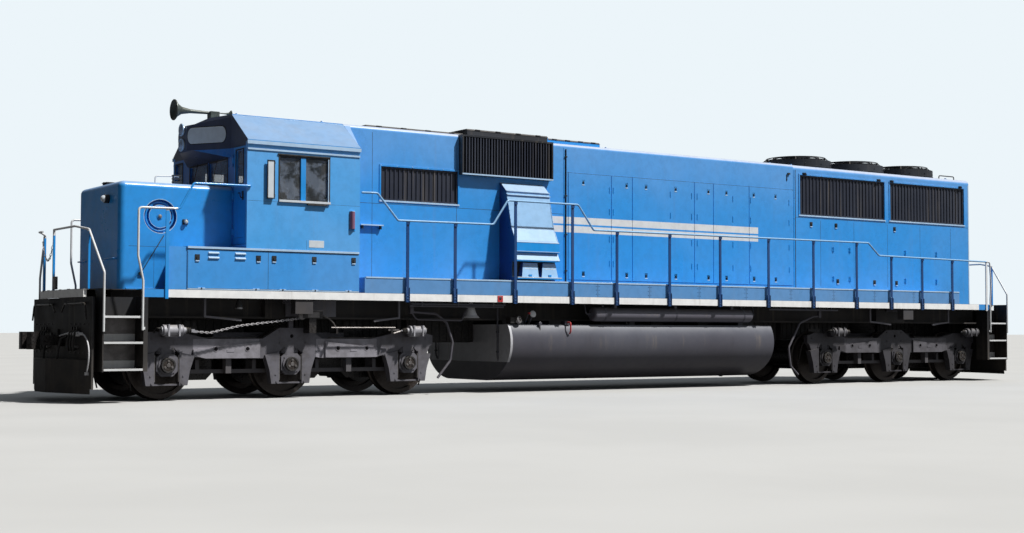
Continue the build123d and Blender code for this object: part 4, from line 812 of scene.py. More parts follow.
def make_hood_fittings():
    dark = Build("hood_seams", "gasket")
    black = Build("hood_latches", "black", 0.002)
    # The latch handles and the lips are pale blue as painted highlights.
    bright = Build("hood_latch_handles", "highlight_edge", 0.001)
    blue = Build("hood_hinges_and_frames", "blue", 0.001)
    pale = Build("hood_lips", "highlight_edge", 0.001)
    grille = Build("brake_grille_bars", "grille", 0.001)
    y = HOOD_Y
    for side in sides():
        for x in ENGINE_SEAMS:
            seam(dark, y, x, 1.97, 3.87)
        for x in ENGINE_LATCHES:
            for z in (2.068, 3.73):
                latch(black, bright, y, x, z)
        for x in ENGINE_HINGES:
            for z in (2.27, 2.72, 3.22, 3.62):
                hinge(blue, y, x, z)
        for x in RADIATOR_SEAMS:
            seam(dark, y, x, 1.97, 3.3)
        for x, z in RADIATOR_LATCHES:
            latch(black, bright, y, x, z)
        for x in RADIATOR_HINGES:
            for z in (2.12, 2.72):
                hinge(blue, y, x, z)
        if side == 1:
            # small shelf bracket at the front of the hood
            pale.box(5.28, 5.7, y - 0.002, y + 0.075, 2.752, 2.772)
            for x in (5.32, 5.66):
                black.bar(x, 0.012, y - 0.002, y + 0.06, 2.7, 2.752)
        for x in (1.84, 3.82, 5.46):
            seam(dark, y, x, 3.7 if side == 1 and x < 3.0 else 1.9, 4.3)
        plate(dark, y, 1.5, 5.96, 3.125, 3.131, SEAM)
        plate(dark, y, -9.58, -4.2, 3.335, 3.341, SEAM)
        for x0, x1, z0, z1 in SIDE_GRILLES:
            plate(blue, y, x0 - 0.03, x1 + 0.03, z1, z1 + 0.03, 0.012)
            plate(pale, y, x0 - 0.03, x1 + 0.03, z0 - 0.028, z0, 0.014)
            plate(blue, y, x0 - 0.03, x0, z0, z1, 0.012)
            plate(blue, y, x1, x1 + 0.03, z0, z1, 0.012)
            count = int((x1 - x0) / 0.3)
            for x in row(x0, (x1 - x0) / count, count + 1):
                for z in (z0 - 0.014, z1 + 0.015):
                    bright.bolt((x, y + 0.012, z), OUT, 0.006, 0.005)
        # small stays above the radiator grilles, and the step bracket ahead of them
        for x in (-4.486, -6.678, -7.083, -9.3):
            black.bar(x, 0.055, y, y + 0.03, 4.205, 4.23)
            black.box(x - 0.02, x + 0.045, y, y + 0.05, 4.225, 4.25)
        black.box(-4.075, -4.015, y, y + 0.03, 4.185, 4.222)
        black.box(-4.01, -3.99, y, y + 0.012, 4.06, 4.19)
        plate(dark, y, -4.245, -4.228, 1.9, 4.3, 0.002)
        plate(blue, y, -4.22, -4.185, 1.9, 4.3, 0.006)
        # seam above the engine doors, and the conduit at the front of the engine hood
        plate(dark, y, -4.18, 1.47, 3.878, 3.887, SEAM)
        plate(blue, y, 1.538, 1.56, 1.9, 4.33, 0.006)
        black.rod((1.515, y + 0.014, DECK + 0.26), (1.515, y + 0.014, 4.3), 0.013, 10)
        for z in (2.1, 2.75, 3.45, 4.15):
            black.box(1.49, 1.54, y - 0.002, y + 0.03, z, z + 0.024)
        # the brake grille's pale lip and the bars between its main bars
        plate(pale, y + 0.119, 1.87, 3.78, 3.7, 3.724, 0.006)
        for x in spread(1.9, 3.75, 16):
            grille.bar(x, 0.01, y + 0.07, y + 0.112, 3.728, 4.357)
        plate(pale, y, HOOD_REAR, -9.57, 1.66, 4.28, 0.004)
        for z in row(2.05, 0.42, 6):
            for x in (1.517, -4.203):
                blue.bolt((x, y + 0.006, z), OUT, 0.007, 0.006)
    finish(dark, black, bright, blue, pale, grille)


def make_walkway_duct():
    """Edges, seams and bolts of the ducts beside the walkway, and the sockets of the rail posts."""
    # The pale top edges are painted highlights.
    edge = Build("walkway_duct_edges", "highlight_edge", 0.001)
    dark = Build("walkway_duct_seams", "gasket")
    blue = Build("rail_post_sockets", "rails", 0.001)
    for side in sides():
        edge.box(-8.58, 5.86 if side == 1 else 1.98, 1.452, 1.488, 1.872, 1.896)
        for x in row(1.2, -1.19, 9):
            seam(dark, 1.48, x, 1.64, 1.878)
            for dx in (-0.03, 0.03):
                for z in (1.69, 1.76, 1.83):
                    blue.bolt((x + dx, 1.48, z), OUT, 0.007, 0.005)
        for x in POSTS:
            blue.bar(x, 0.045, SIDE, SIDE + 0.01, SILL - 0.018, DECK - 0.004)
            blue.box(x - 0.036, x - 0.027, SIDE, SIDE + 0.034, SILL - 0.01, DECK + 0.1)
            blue.box(x + 0.027, x + 0.036, SIDE, SIDE + 0.034, SILL - 0.01, DECK + 0.1)
            for z in (SILL + 0.035, DECK - 0.035):
                blue.bolt((x, SIDE + 0.022, z), OUT, 0.01, 0.008)
    finish(edge, dark, blue)


# Rear and front edges of the filter boxes in the blower duct, at their tops and feet
FILTER_BOXES = ((2.075, 2.343, 2.059, 2.412), (2.457, 2.758, 2.472, 2.824))


def make_blower_duct():
    """Flanges, edges and filter boxes of the blower duct, which is on the left side only."""
    # the duct's section from top to foot, as distance from the middle and height
    folds = ((1.006, 3.585), (1.093, 3.507), (1.147, 3.46), (1.161, 3.399), (1.185, 3.31), (1.296, 2.839),
             (1.425, 2.585), (1.464, 2.556), (1.47, 2.4), (1.412, 2.376), (1.48, 2.252))
    # The pale folded edges are painted highlights.
    edge = Build("blower_duct_edges", "highlight_edge", 0.001)
    blue = Build("blower_duct_flanges", "duct", 0.001)
    dark = Build("blower_duct_holes", "gasket")
    white = Build("blower_duct_shelf_edge", "board", 0.001)
    x0, x1 = 2.03, 2.94
    # drip lips and folded edges
    for y, z, out in ((1.147, 3.462, 0.02), (1.163, 3.397, 0.024)):
        lip = [(y - 0.01, z - 0.004), (y + out, z - 0.012), (y + out, z - 0.002), (y - 0.01, z + 0.008)]
        blue.prism(lip, 0, x0 - 0.004, x1 + 0.004)
        edge.box(x0 - 0.004, x1 + 0.004, y + out - 0.002, y + out + 0.004, z - 0.013, z - 0.001)
    for number in (0, 5, 6, 7, 8, 10):
        y, z = folds[number]
        edge.box(x0 + 0.004, x1 - 0.004, y - 0.004, y + 0.004, z - 0.005, z + 0.005)
    for x in (x0 + 0.003, x1 - 0.016):
        for (ya, za), (yb, zb) in zip(folds[4:7], folds[5:8]):
            strip = [(ya - 0.002, za), (ya + 0.005, za), (yb + 0.005, zb), (yb - 0.002, zb)]
            blue.prism(strip, 0, x, x + 0.013)
    for t in spread(0, 1, 6):
        for x in (x0 + 0.01, x1 - 0.01):
            blue.bolt((x, 1.19 + 0.111 * t, 3.31 - 0.471 * t), (0, 1, 0.2), 0.006, 0.006)
    # the filter boxes, which lean back: frame lines, rows of holes and clamps
    top, foot, lean = 2.205, 1.955, 0.2745
    for top_rear, top_front, foot_rear, foot_front in FILTER_BOXES:
        for z in row(top - 0.03, -0.035, 3):
            for x in row(top_rear + 0.03, (top_front - top_rear - 0.06) / 8, 9):
                white.lathe([(0, 0.011), (0.003, 0.009)], (x, 1.4 + (top - z) * lean, z), (0, 1, 0.27), 10)
        for z, rear, front in ((top, top_rear, top_front), (foot, foot_rear, foot_front)):
            y = 1.4 + (top - z) * lean
            edge.box(rear + 0.003, front - 0.003, y - 0.006, y + 0.003, z - 0.008, z - 0.001)
        x = (foot_rear + foot_front) / 2
        blue.bar(x, 0.03, 1.46, 1.474, 1.975, 2.005)
    dark.box(x0 + 0.004, x1 - 0.004, 1.329, 1.3325, 1.96, 2.226)
    white.box(2.01, 2.94, 1.496, 1.506, 1.944, 1.958)
    finish(edge, blue, dark, white)


def make_nose():
    blue = Build("nose_fittings", "blue", 0.0015)
    dark = Build("nose_dark_fittings", "black", 0.001)
    bright = Build("nose_bright_fittings", "bright", 0.001)
    # The pale rims of the hand brake and the headlamps are painted highlights.
    rim = Build("hand_brake_rim_edge", "highlight_edge")
    lens = Build("nose_lamp_lenses", "lens")
    white = Build("nose_grab_iron", "white")
    board = Build("nose_lamp_dome", "board")
    # sand hatch, with hinge and hasp
    dark.box(9.44, 9.6, -0.15, 0.05, NOSE_TOP - 0.002, NOSE_TOP + 0.032)
    dark.box(9.43, 9.61, -0.16, 0.06, NOSE_TOP + 0.032, NOSE_TOP + 0.046)
    dark.rod((9.432, -0.13, NOSE_TOP + 0.04), (9.432, 0.03, NOSE_TOP + 0.04), 0.012, 10)
    dark.box(9.605, 9.622, -0.07, -0.03, NOSE_TOP + 0.01, NOSE_TOP + 0.05)
    # the lamp on the left of the front, a pale dome on a dark base
    lamp = (NOSE_FRONT - 0.001, 0.44, 3.01)
    dark.lathe([(0, 0.066), (0.066, 0.066), (0.07, 0.054)], lamp, AHEAD)
    board.lathe([(0.068, 0.054), (0.092, 0.05), (0.112, 0.036), (0.122, 0.018), (0.125, 0)], lamp, AHEAD, 24)
    for _ in sides():
        # the lamp over the step
        dark.box(8.645, 8.725, NOSE_Y, NOSE_Y + 0.018, 2.635, 2.715)
        lamp = (8.685, NOSE_Y + 0.016, 2.678)
        bright.lathe([(0, 0.03), (0.026, 0.036), (0.045, 0.03), (0.045, 0)], lamp, OUT, 20, closed=False)
        lens.lathe([(0.045, 0.027), (0.05, 0.02), (0.053, 0)], lamp, OUT, 20)
        # seams and edge trim
        plate(dark, NOSE_Y, 9.165, 9.17, 1.66, 2.285, SEAM)
        plate(dark, NOSE_Y, 8.0, 9.56, 2.283, 2.288, SEAM)
        blue.box(8.86, 9.6, NOSE_Y - 0.001, NOSE_Y + 0.016, DECK - 0.001, DECK + 0.028)
        for x in row(8.93, 0.105, 7):
            blue.bolt((x, NOSE_Y + 0.016, DECK + 0.014), OUT, 0.008, 0.006)
    # the two headlamps over the windshield
    for z in (-0.12, 0.12):
        rim.ring((8.394, 0, 4.09 + z), AHEAD, 0.092, 0.011, 36, 8)
        lens.lathe([(0, 0.08), (0.012, 0.068), (0.026, 0.0484), (0.032, 0)], (8.396, 0, 4.09 + z), AHEAD)
    # hand-brake rod to the deck, with its pulley
    dark.rod((9.02, NOSE_Y + 0.012, 2.46), (9.37, NOSE_Y + 0.012, 1.885), 0.007, 8)
    dark.box(9.34, 9.4, NOSE_Y, NOSE_Y + 0.03, 1.85, 1.9)
    # the hand-brake wheel's hub nut, rim edges and dished plate
    x, z = 9.075, 2.745
    bright.lathe([(0, 0.032), (0.018, 0.028), (0.022, 0.012), (0.03, 0.01)], (x, NOSE_Y - 0.02, z), OUT, 16)
    rim.ring((x, NOSE_Y - 0.004, z), OUT, 0.258, 0.006)
    blue.lathe([(-0.016, 0.168), (-0.008, 0.176), (0.004, 0.172), (0.006, 0.16), (-0.004, 0.06)],
               (x, NOSE_Y - 0.02, z), OUT, 48)
    rim.ring((x, NOSE_Y - 0.018, z), OUT, 0.172, 0.004)
    # front grab irons of the nose
    x, z = NOSE_FRONT, 2.1
    for y in (-0.62, 0.62):
        blue.tube([(x - 0.004, y - 0.2, z), (x + 0.05, y - 0.2, z), (x + 0.05, y + 0.2, z),
                   (x - 0.004, y + 0.2, z)], 0.01, 10, 0.04)
        for foot in (-0.2, 0.2):
            blue.lathe([(0, 0.022), (0.006, 0.02), (0.008, 0.01)], (x - 0.001, y + foot, z), AHEAD, 14)
    # grab rail on the roof of the nose, in front of the windshield
    white.tube([(8.89, 0.2, NOSE_TOP - 0.004), (8.885, 0.2, 3.43), (8.485, 0.2, 3.445),
                (8.485, 0.2, NOSE_TOP - 0.004)], 0.012, 10, 0.04)
    # the dark bracket of the windshield washer beside it
    for z in (0.05, 0.1, 0.15):
        dark.box(8.6, 8.74, 0.5, 0.56, NOSE_TOP + z, NOSE_TOP + z + 0.016)
    for x in (8.61, 8.72):
        dark.box(x, x + 0.014, 0.51, 0.55, NOSE_TOP - 0.002, NOSE_TOP + 0.166)
    finish(blue, dark, bright, rim, lens, white, board)


# Side cabinets in front of and under the cab
def make_cabinets():
    black = Build("cabinet_bolts", "gasket")
    dark = Build("cabinet_seams_and_latches", "black")
    # The pale handles, lid edges and louvres are painted highlights.
    bright = Build("cabinet_handles", "highlight_edge", 0.001)
    pale = Build("cabinet_lid_edges", "highlight_edge", 0.001)
    y, x0, x1 = 1.49, 5.995, 8.862
    for _ in sides():
        plate(pale, y, x0, x1, CABINET - 0.034, CABINET - 0.002, 0.016)
        plate(dark, y, x0, x1, CABINET - 0.046, CABINET - 0.035, 0.001)
        for x in (8.858, 7.562):
            seam(dark, y, x, 1.66, CABINET - 0.03)
        plate(pale, y, x0, x1, DECK + 0.004, DECK + 0.02, 0.01)
        plate(dark, y, x0, x1, DECK + 0.021, DECK + 0.026, 0.001)
        for x in (8.642, 7.764, 7.318, 6.766, 6.182):
            plate(pale, y, x - 0.055, x + 0.055, DECK + 0.018, DECK + 0.034, 0.012)
            black.bolt((x, y + 0.01, DECK + 0.022), OUT, 0.01, 0.008)
        for x, z in ((8.71, 2.115), (7.725, 2.125), (7.465, 2.13), (6.782, 2.135), (6.091, 2.14)):
            latch(dark, bright, y, x, z)
        for x in (8.45, 8.02):
            for z in (2.19, 2.117):
                louvre(pale, y, x - 0.085, x + 0.085, z)
    finish(black, dark, bright, pale)


# Cab
def make_cab():
    blue = Build("cab_fittings", "blue", 0.0015)
    dark = Build("cab_gaskets_and_wipers", "gasket", 0.001)
    # The pale gutter, drip moulding, window jamb and lamp cap are painted highlights.
    pale = Build("cab_bright_edges", "highlight_edge", 0.001)
    board = Build("number_boards", "board", 0.001)
    lamp = Build("marker_lamps", "marker", 0.002)
    roof = Build("cab_roof_rear_sheet", "blue")
    x0, x1, z0, z1 = 6.545, 7.385, 3.04, 3.715
    middle = (x0 + x1) / 2 + 0.018
    y = CAB_Y
    for _ in sides():
        # window frame: rubber, rails and the post between its two sliding panes
        for bar in frame_bars(x0, x1, z0, z1, 0.022, 0.022):
            plate(dark, y, *bar, 0.008)
        plate(board, y, x0 - 0.02, x1 + 0.02, z0 - 0.03, z0 + 0.004, 0.034)
        plate(dark, y, x0 - 0.02, x1 + 0.04, z1 + 0.02, z1 + 0.04, 0.02)
        plate(pale, y, x0, x0 + 0.014, z0, z1, 0.01)
        blue.bar(middle, 0.042, y - 0.034, y - 0.002, z0, z1)
        dark.box(middle + 0.03, middle + 0.04, y - 0.03, y - 0.01, z0, z1)
        dark.box(x0, x1, y - 0.034, y - 0.008, z0, z0 + 0.012)
        dark.box(x0, x1, y - 0.034, y - 0.008, z1 - 0.012, z1)
        # arm rest
        dark.box(x0 + 0.04, middle - 0.06, y + 0.002, y + 0.05, z0 - 0.062, z0 - 0.036)
        # wall seams, the gutter at the eave and the drip moulding below it
        plate(dark, y, 5.99, 7.92, 3.006, 3.01, SEAM)
        plate(dark, y, 6.917, 6.922, CABINET + 0.01, 2.43, SEAM)
        pale.box(5.985, 7.938, y - 0.002, y + 0.034, 3.872, 3.926)
        plate(pale, y, 5.995, 7.925, 3.786, 3.814, 0.016)
        # blank plate
        plate(board, y, 6.62, 6.88, 2.325, 2.435, 0.003)
        # marker lamp behind the window, in a rounded case
        arc = [k * math.pi / 12 for k in range(13)]
        case = [(6.128 + 0.046 * math.cos(a), y - 0.004 + 0.062 * math.sin(a)) for a in arc]
        lamp.prism(case, 2, 2.64, 2.915)
        pale.prism(case, 2, 2.915, 2.924)
        blue.box(6.075, 6.181, y - 0.002, y + 0.012, 2.615, 2.64)
        # wind deflector ahead of the window: a pale pane in a thin frame
        board.box(7.502, 7.604, y + 0.04, y + 0.046, 3.062, 3.628)
        for bar in ((7.602, 7.616, 3.048, 3.642), (7.49, 7.504, 3.048, 3.642),
                    (7.49, 7.616, 3.048, 3.064), (7.49, 7.616, 3.626, 3.642)):
            dark.box(*bar[:2], y + 0.034, y + 0.052, *bar[2:])
        for z in (3.1, 3.6):
            dark.box(7.484, 7.5, y - 0.002, y + 0.05, z - 0.02, z + 0.02)
        # number board with round ends, on the slanting face of the lamp housing
        outer, inner = Vector((7.928, 0.87, 0)), Vector((8.37, 0.17, 0))
        along = (inner - outer).normalized()
        out = along.cross(Vector(DOWN))
        ends_at = [outer.lerp(inner, 0.88)] * 12 + [outer.lerp(inner, 0.2)] * 12
        angles = [math.pi * k / 11 for k in range(12)] + [math.pi * (k / 11 + 1) for k in range(12)]
        for half, thick, target in ((0.139, 0.006, dark), (0.125, 0.01, board)):
            outline = [centre + along * math.sin(a) * half * 0.62 + Vector((0, 0, 4.09 + math.cos(a) * half))
                       for centre, a in zip(ends_at, angles)]
            target.slab(outline, -0.001 * out, thick * out)
        # roof: rain rib, lifting lugs and the sheet's rear edge, which reaches further back towards the top
        for x in (6.2, 7.7):
            lifting_lug(blue, x, 4.408)
        blue.box(6.0, 7.92, 0.894, 0.906, 4.386, 4.398)
        sheet = [(5.992, 1.5), (5.992, 0.945), (5.88, 0.945), (5.905, 1.02)]
        roof.slab([(x, w, 3.929 + (CAB_Y - w) * 0.7696 - 0.004) for x, w in sheet], (0, 0, 0), (0, 0, 0.012))
    # windshields: gaskets, wipers with their arms and motors
    x = CAB_FRONT
    for a, c in ((-0.76, -0.04), (0.04, 0.76)):
        for bar in frame_bars(a, c, 3.3, 3.7, 0.02, 0.022):
            dark.box(x - 0.002, x + 0.009, *bar)
        y = (a + c) / 2
        dark.rod((x - 0.002, y + 0.05, 3.755), (x + 0.036, y + 0.05, 3.755), 0.016, 12)
        dark.rod((x + 0.03, y + 0.05, 3.755), (x + 0.02, y - 0.16, 3.43), 0.006, 8)
        dark.rod((x + 0.02, y - 0.11, 3.32), (x + 0.02, y - 0.21, 3.56), 0.007, 8)
    # each end has a door on one side and a fixed window on the other
    for end, x, name in ((1, CAB_FRONT, "front"), (-1, CAB_REAR, "rear")):
        for bar in frame_bars(1.09, 1.39, 3.29, 3.8, 0.018, 0.018):
            dark.box(x - 0.002 * end, x + 0.008 * end, -end * bar[0], -end * bar[1], *bar[2:])
        door = Build(name + "_door_fittings", "gasket", 0.001, name + "_door")
        for bar in frame_bars(1.09, 1.36, 3.29, 3.8, 0.018, 0.018):
            door.box(x - 0.002 * end, x + 0.008 * end, end * bar[0], end * bar[1], *bar[2:])
        door.box(x - 0.002 * end, x + 0.006 * end, end * 1.315, end * 1.375, 3.02, 3.16)
        door.tube([(x + 0.004 * end, end * 1.345, 3.06), (x + 0.045 * end, end * 1.345, 3.06),
                   (x + 0.045 * end, end * 1.345, 3.13), (x + 0.045 * end, end * 1.27, 3.13)],
                  0.008, 10, 0.02)
        door.box(x - 0.002 * end, x + 0.004 * end, end * 1.06, end * 1.37, 2.45, 2.453)
        door.done()
    # antenna dome
    dark.lathe([(0, 0.17), (0.02, 0.17), (0.035, 0.05), (0.055, 0.03)], (6.75, 0.0, 4.438), UP, 28)
    finish(blue, dark, pale, board, lamp, roof)


# Trucks: made round the front truck's own middle, and turned half round for the rear one
# The ends of each brake cylinder along x, on the left side (1) and on the right (-1)
BRAKE_CYLINDERS = {1: ((1.908, 2.221), (-2.263, -1.983)), -1: ((2.042, 2.403), (-2.05, -1.715))}


def make_brake_cylinders(steel, rubber, side):
    """Flanges, bolts, boots and hoses of the brake cylinders on one side of a truck."""
    y, z = 1.31, 1.03
    for x0, x1 in BRAKE_CYLINDERS[side]:
        way = -1 if x0 > 0 else 1
        push = (way, 0, 0)
        near, far = (x0, x1) if way == -1 else (x1, x0)
        for x in (x0 + 0.012, x1 - 0.012):
            steel.lathe([(-0.006, 0.086), (0.006, 0.086)], (x, y, z), AHEAD, 28)
            for across, up in circle(6, 0.077):
                steel.bolt((x + 0.006 * way, y + across, z + up), push, 0.006, 0.006)
        rubber.lathe([(0, 0.045), (0.02, 0.05), (0.035, 0.036), (0.05, 0.047), (0.065, 0.033), (0.08, 0.043),
                      (0.085, 0.022)], (near + 0.04 * way, y, z), push, 20)
        rubber.tube([(far - 0.02 * way, y, z + 0.03), (far - 0.07 * way, y, z + 0.03),
                     (far - 0.08 * way, y - 0.1, z + 0.02), (far - 0.04 * way, y - 0.22, z - 0.04)],
                    0.012, 8, 0.03)


def make_brake_linkage(dark, bright):
    """The hand brake chain's sheave in its housing, and the bright rod from there to a brake cylinder."""
    y = 1.318
    dark.box(-0.4, -0.06, 1.3, 1.336, 1.225, 1.335)
    bright.box(-0.41, -0.05, 1.296, 1.34, 1.335, 1.347)
    bright.box(-0.34, -0.14, 1.335, 1.341, 1.235, 1.322)
    dark.box(-0.3, -0.18, 1.1, 1.31, 0.99, 1.235)
    bright.lathe([(-0.012, 0.062), (-0.004, 0.05), (0.004, 0.05), (0.012, 0.062)], (-0.05, y, 1.262), OUT, 24)
    bright.tube([(-0.42, y, 1.262), (-0.52, y, 1.225), (-0.6, 1.315, 1.15), (-0.64, 1.312, 1.085)], 0.012, 8)
    bright.rod((-0.562, 1.312, 1.076), (-1.727, 1.312, 1.08), 0.012, 10)
    for x in (-0.66, -1.66):
        dark.bar(x, 0.016, 1.1, 1.325, 0.985, 1.01)
        dark.bar(x, 0.016, 1.3, 1.325, 1.005, 1.066)
    bright.box(-1.8, -1.6, 1.296, 1.31, 1.03, 1.058)
    bright.rod((-1.7, 1.296, 0.985), (-1.86, 1.296, 1.03), 0.016, 10)


def make_truck(end, name):
    truck = name + "_truck"
    duct = Build(truck + "_air_ducts", "rubber", 0.004, truck)
    steel = Build(truck + "_bolts_and_springs", "truck", 0.0, truck)
    bright = Build(truck + "_wear_plates", "worn", 0.001, truck)
    dark = Build(truck + "_pipes", "oily", 0.0, truck)
    rubber = Build(truck + "_boots_and_hoses", "rubber", 0.0, truck)
    pieces = [duct, steel, bright, dark, rubber]
    for side in sides():
        for u in AXLES:
            # cover bolts and the wear plates of the pedestals
            for across, up in circle(4, 0.15, math.pi / 4):
                steel.bolt((u + across, 1.14, AXLE_Z + up), OUT, 0.013, 0.012)
            for way in (-1, 1):
                x = u + way * 0.186
                bright.bar(x, 0.006, 1.012, 1.122, 0.26, 0.66)
                steel.bolt((u + way * 0.235, 1.128, 0.235), OUT, 0.016, 0.014)
                steel.bolt((u + way * 0.255, 1.128, 0.345), OUT, 0.012, 0.012)
                # coil spring beside the box
                x = u + way * 0.105
                coil = []
                for k in range(37):
                    a = k * math.pi / 4
                    y = 1.055 + side * 0.04 * math.sin(a)
                    coil.append((x + 0.048 * math.cos(a), y, 0.682 + 0.0024 * k))
                steel.tube(coil, 0.0085, 6, 0.01)
        # rims of the holes, lugs and blank plates on the side frame
        for u in (-1.3, -0.78, 0.78, 1.3):
            steel.lathe([(-0.004, 0.032), (-0.004, 0.044), (0.006, 0.042), (0.006, 0.032), (-0.004, 0.032)],
                        (u, 1.13, 0.748), OUT, 20)
        steel.box(1.0, 1.12, 1.129, 1.136, 0.7, 0.735)
        steel.box(-1.12, -1.0, 1.129, 1.136, 0.7, 0.735)
        for u in (-1.62, -0.62, 0.62, 1.62):
            steel.bar(u, 0.012, 1.098, 1.126, 0.63, 0.73)
        make_brake_cylinders(steel, rubber, side)
        # brake pipe along the top of the beam with its clips
        for x0, x1 in ((0.62, 1.7), (-1.95, -0.62)):
            dark.tube([(x0, 1.085, 0.93), (x0 + 0.1, 1.085, 0.918), (x1, 1.085, 0.918)], 0.01, 8, 0.04)
            for x in row(x0 + 0.14, (x1 - x0 - 0.2) / 3, 4):
                dark.bar(x, 0.012, 1.072, 1.098, 0.902, 0.932)
        # sand pipes at both ends, and down to the rail in front of the wheels
        for way in (-1, 1):
            x = way * 2.5
            dark.tube([(x - way * 0.04, 1.02, 0.86), (x + way * 0.02, 0.93, 0.8),
                       (x + way * 0.035, 0.8, 0.35), (x - way * 0.01, 0.76, 0.12)], 0.013, 8, 0.08)
            dark.box(x, x - way * 0.07, 0.9, 1.0, 0.8, 0.82)
        if side == 1:
            make_brake_linkage(dark, bright)
        # rebound lug, centre hanger and grease fittings
        for u, z in ((-0.22, 1.02), (-0.22, 0.84), (0.22, 1.02), (0.22, 0.84), (-2.43, 0.9), (2.3, 0.9)):
            steel.bolt((u, 1.098, z), OUT, 0.014, 0.014)
    # ribbed air ducts to the motors along the middle, and the dust skirt round the centre plate. Their dark
    # rubber also fills the gap over the truck, standing in for the shade there.
    for low, high, top in ((0.45, 0.62, 1.212), (0.62, 2.45, 1.232)):
        for way in (-1, 1):
            duct.box(way * low, way * high, -0.24, 0.24, 0.88, top - 0.012)
            for x in spread(low, high, max(1, round((high - low) / 0.13))):
                duct.box(way * (x - 0.022), way * (x + 0.022), -0.252, 0.252, 0.87, top)
    duct.lathe([(1.01, 0.36), (1.01, 0.42), (1.07, 0.43), (1.11, 0.41), (1.16, 0.43), (1.222, 0.42),
                (1.222, 0.36), (1.01, 0.36)], (0, 0, 0), UP, 40)
    # turning axle caps: three bolts, a lip and a centre plug each
    for number, u in enumerate(AXLES, 1):
        axle = f"{name}_axle_{number}"
        cap = Build(f"{name}_axle_caps_{number}", "worn", 0.001, axle)
        lip = Build(f"{name}_axle_rings_{number}", "gasket", 0.001, axle)
        pieces += [cap, lip]
        for _ in sides():
            y = 1.199
            lip.lathe([(-0.004, 0.086), (-0.004, 0.112), (0.008, 0.11), (0.008, 0.086), (-0.004, 0.086)],
                      (u, y, AXLE_Z), OUT, 28)
            cap.lathe([(-0.004, 0.034), (0.008, 0.03)], (u, y, AXLE_Z), OUT, 20)
            for across, up in circle(3, 0.062, math.pi / 2):
                cap.bolt((u + across, y - 0.001, AXLE_Z + up), OUT, 0.016, 0.018)
    turn = Matrix.Rotation(0 if end == 1 else math.pi, 4, "Z")
    place = turn @ Matrix.Translation((TRUCK, 0, 0))
    for piece in pieces:
        bmesh.ops.transform(piece.mesh, matrix=place, verts=piece.mesh.verts[:])
        piece.done()


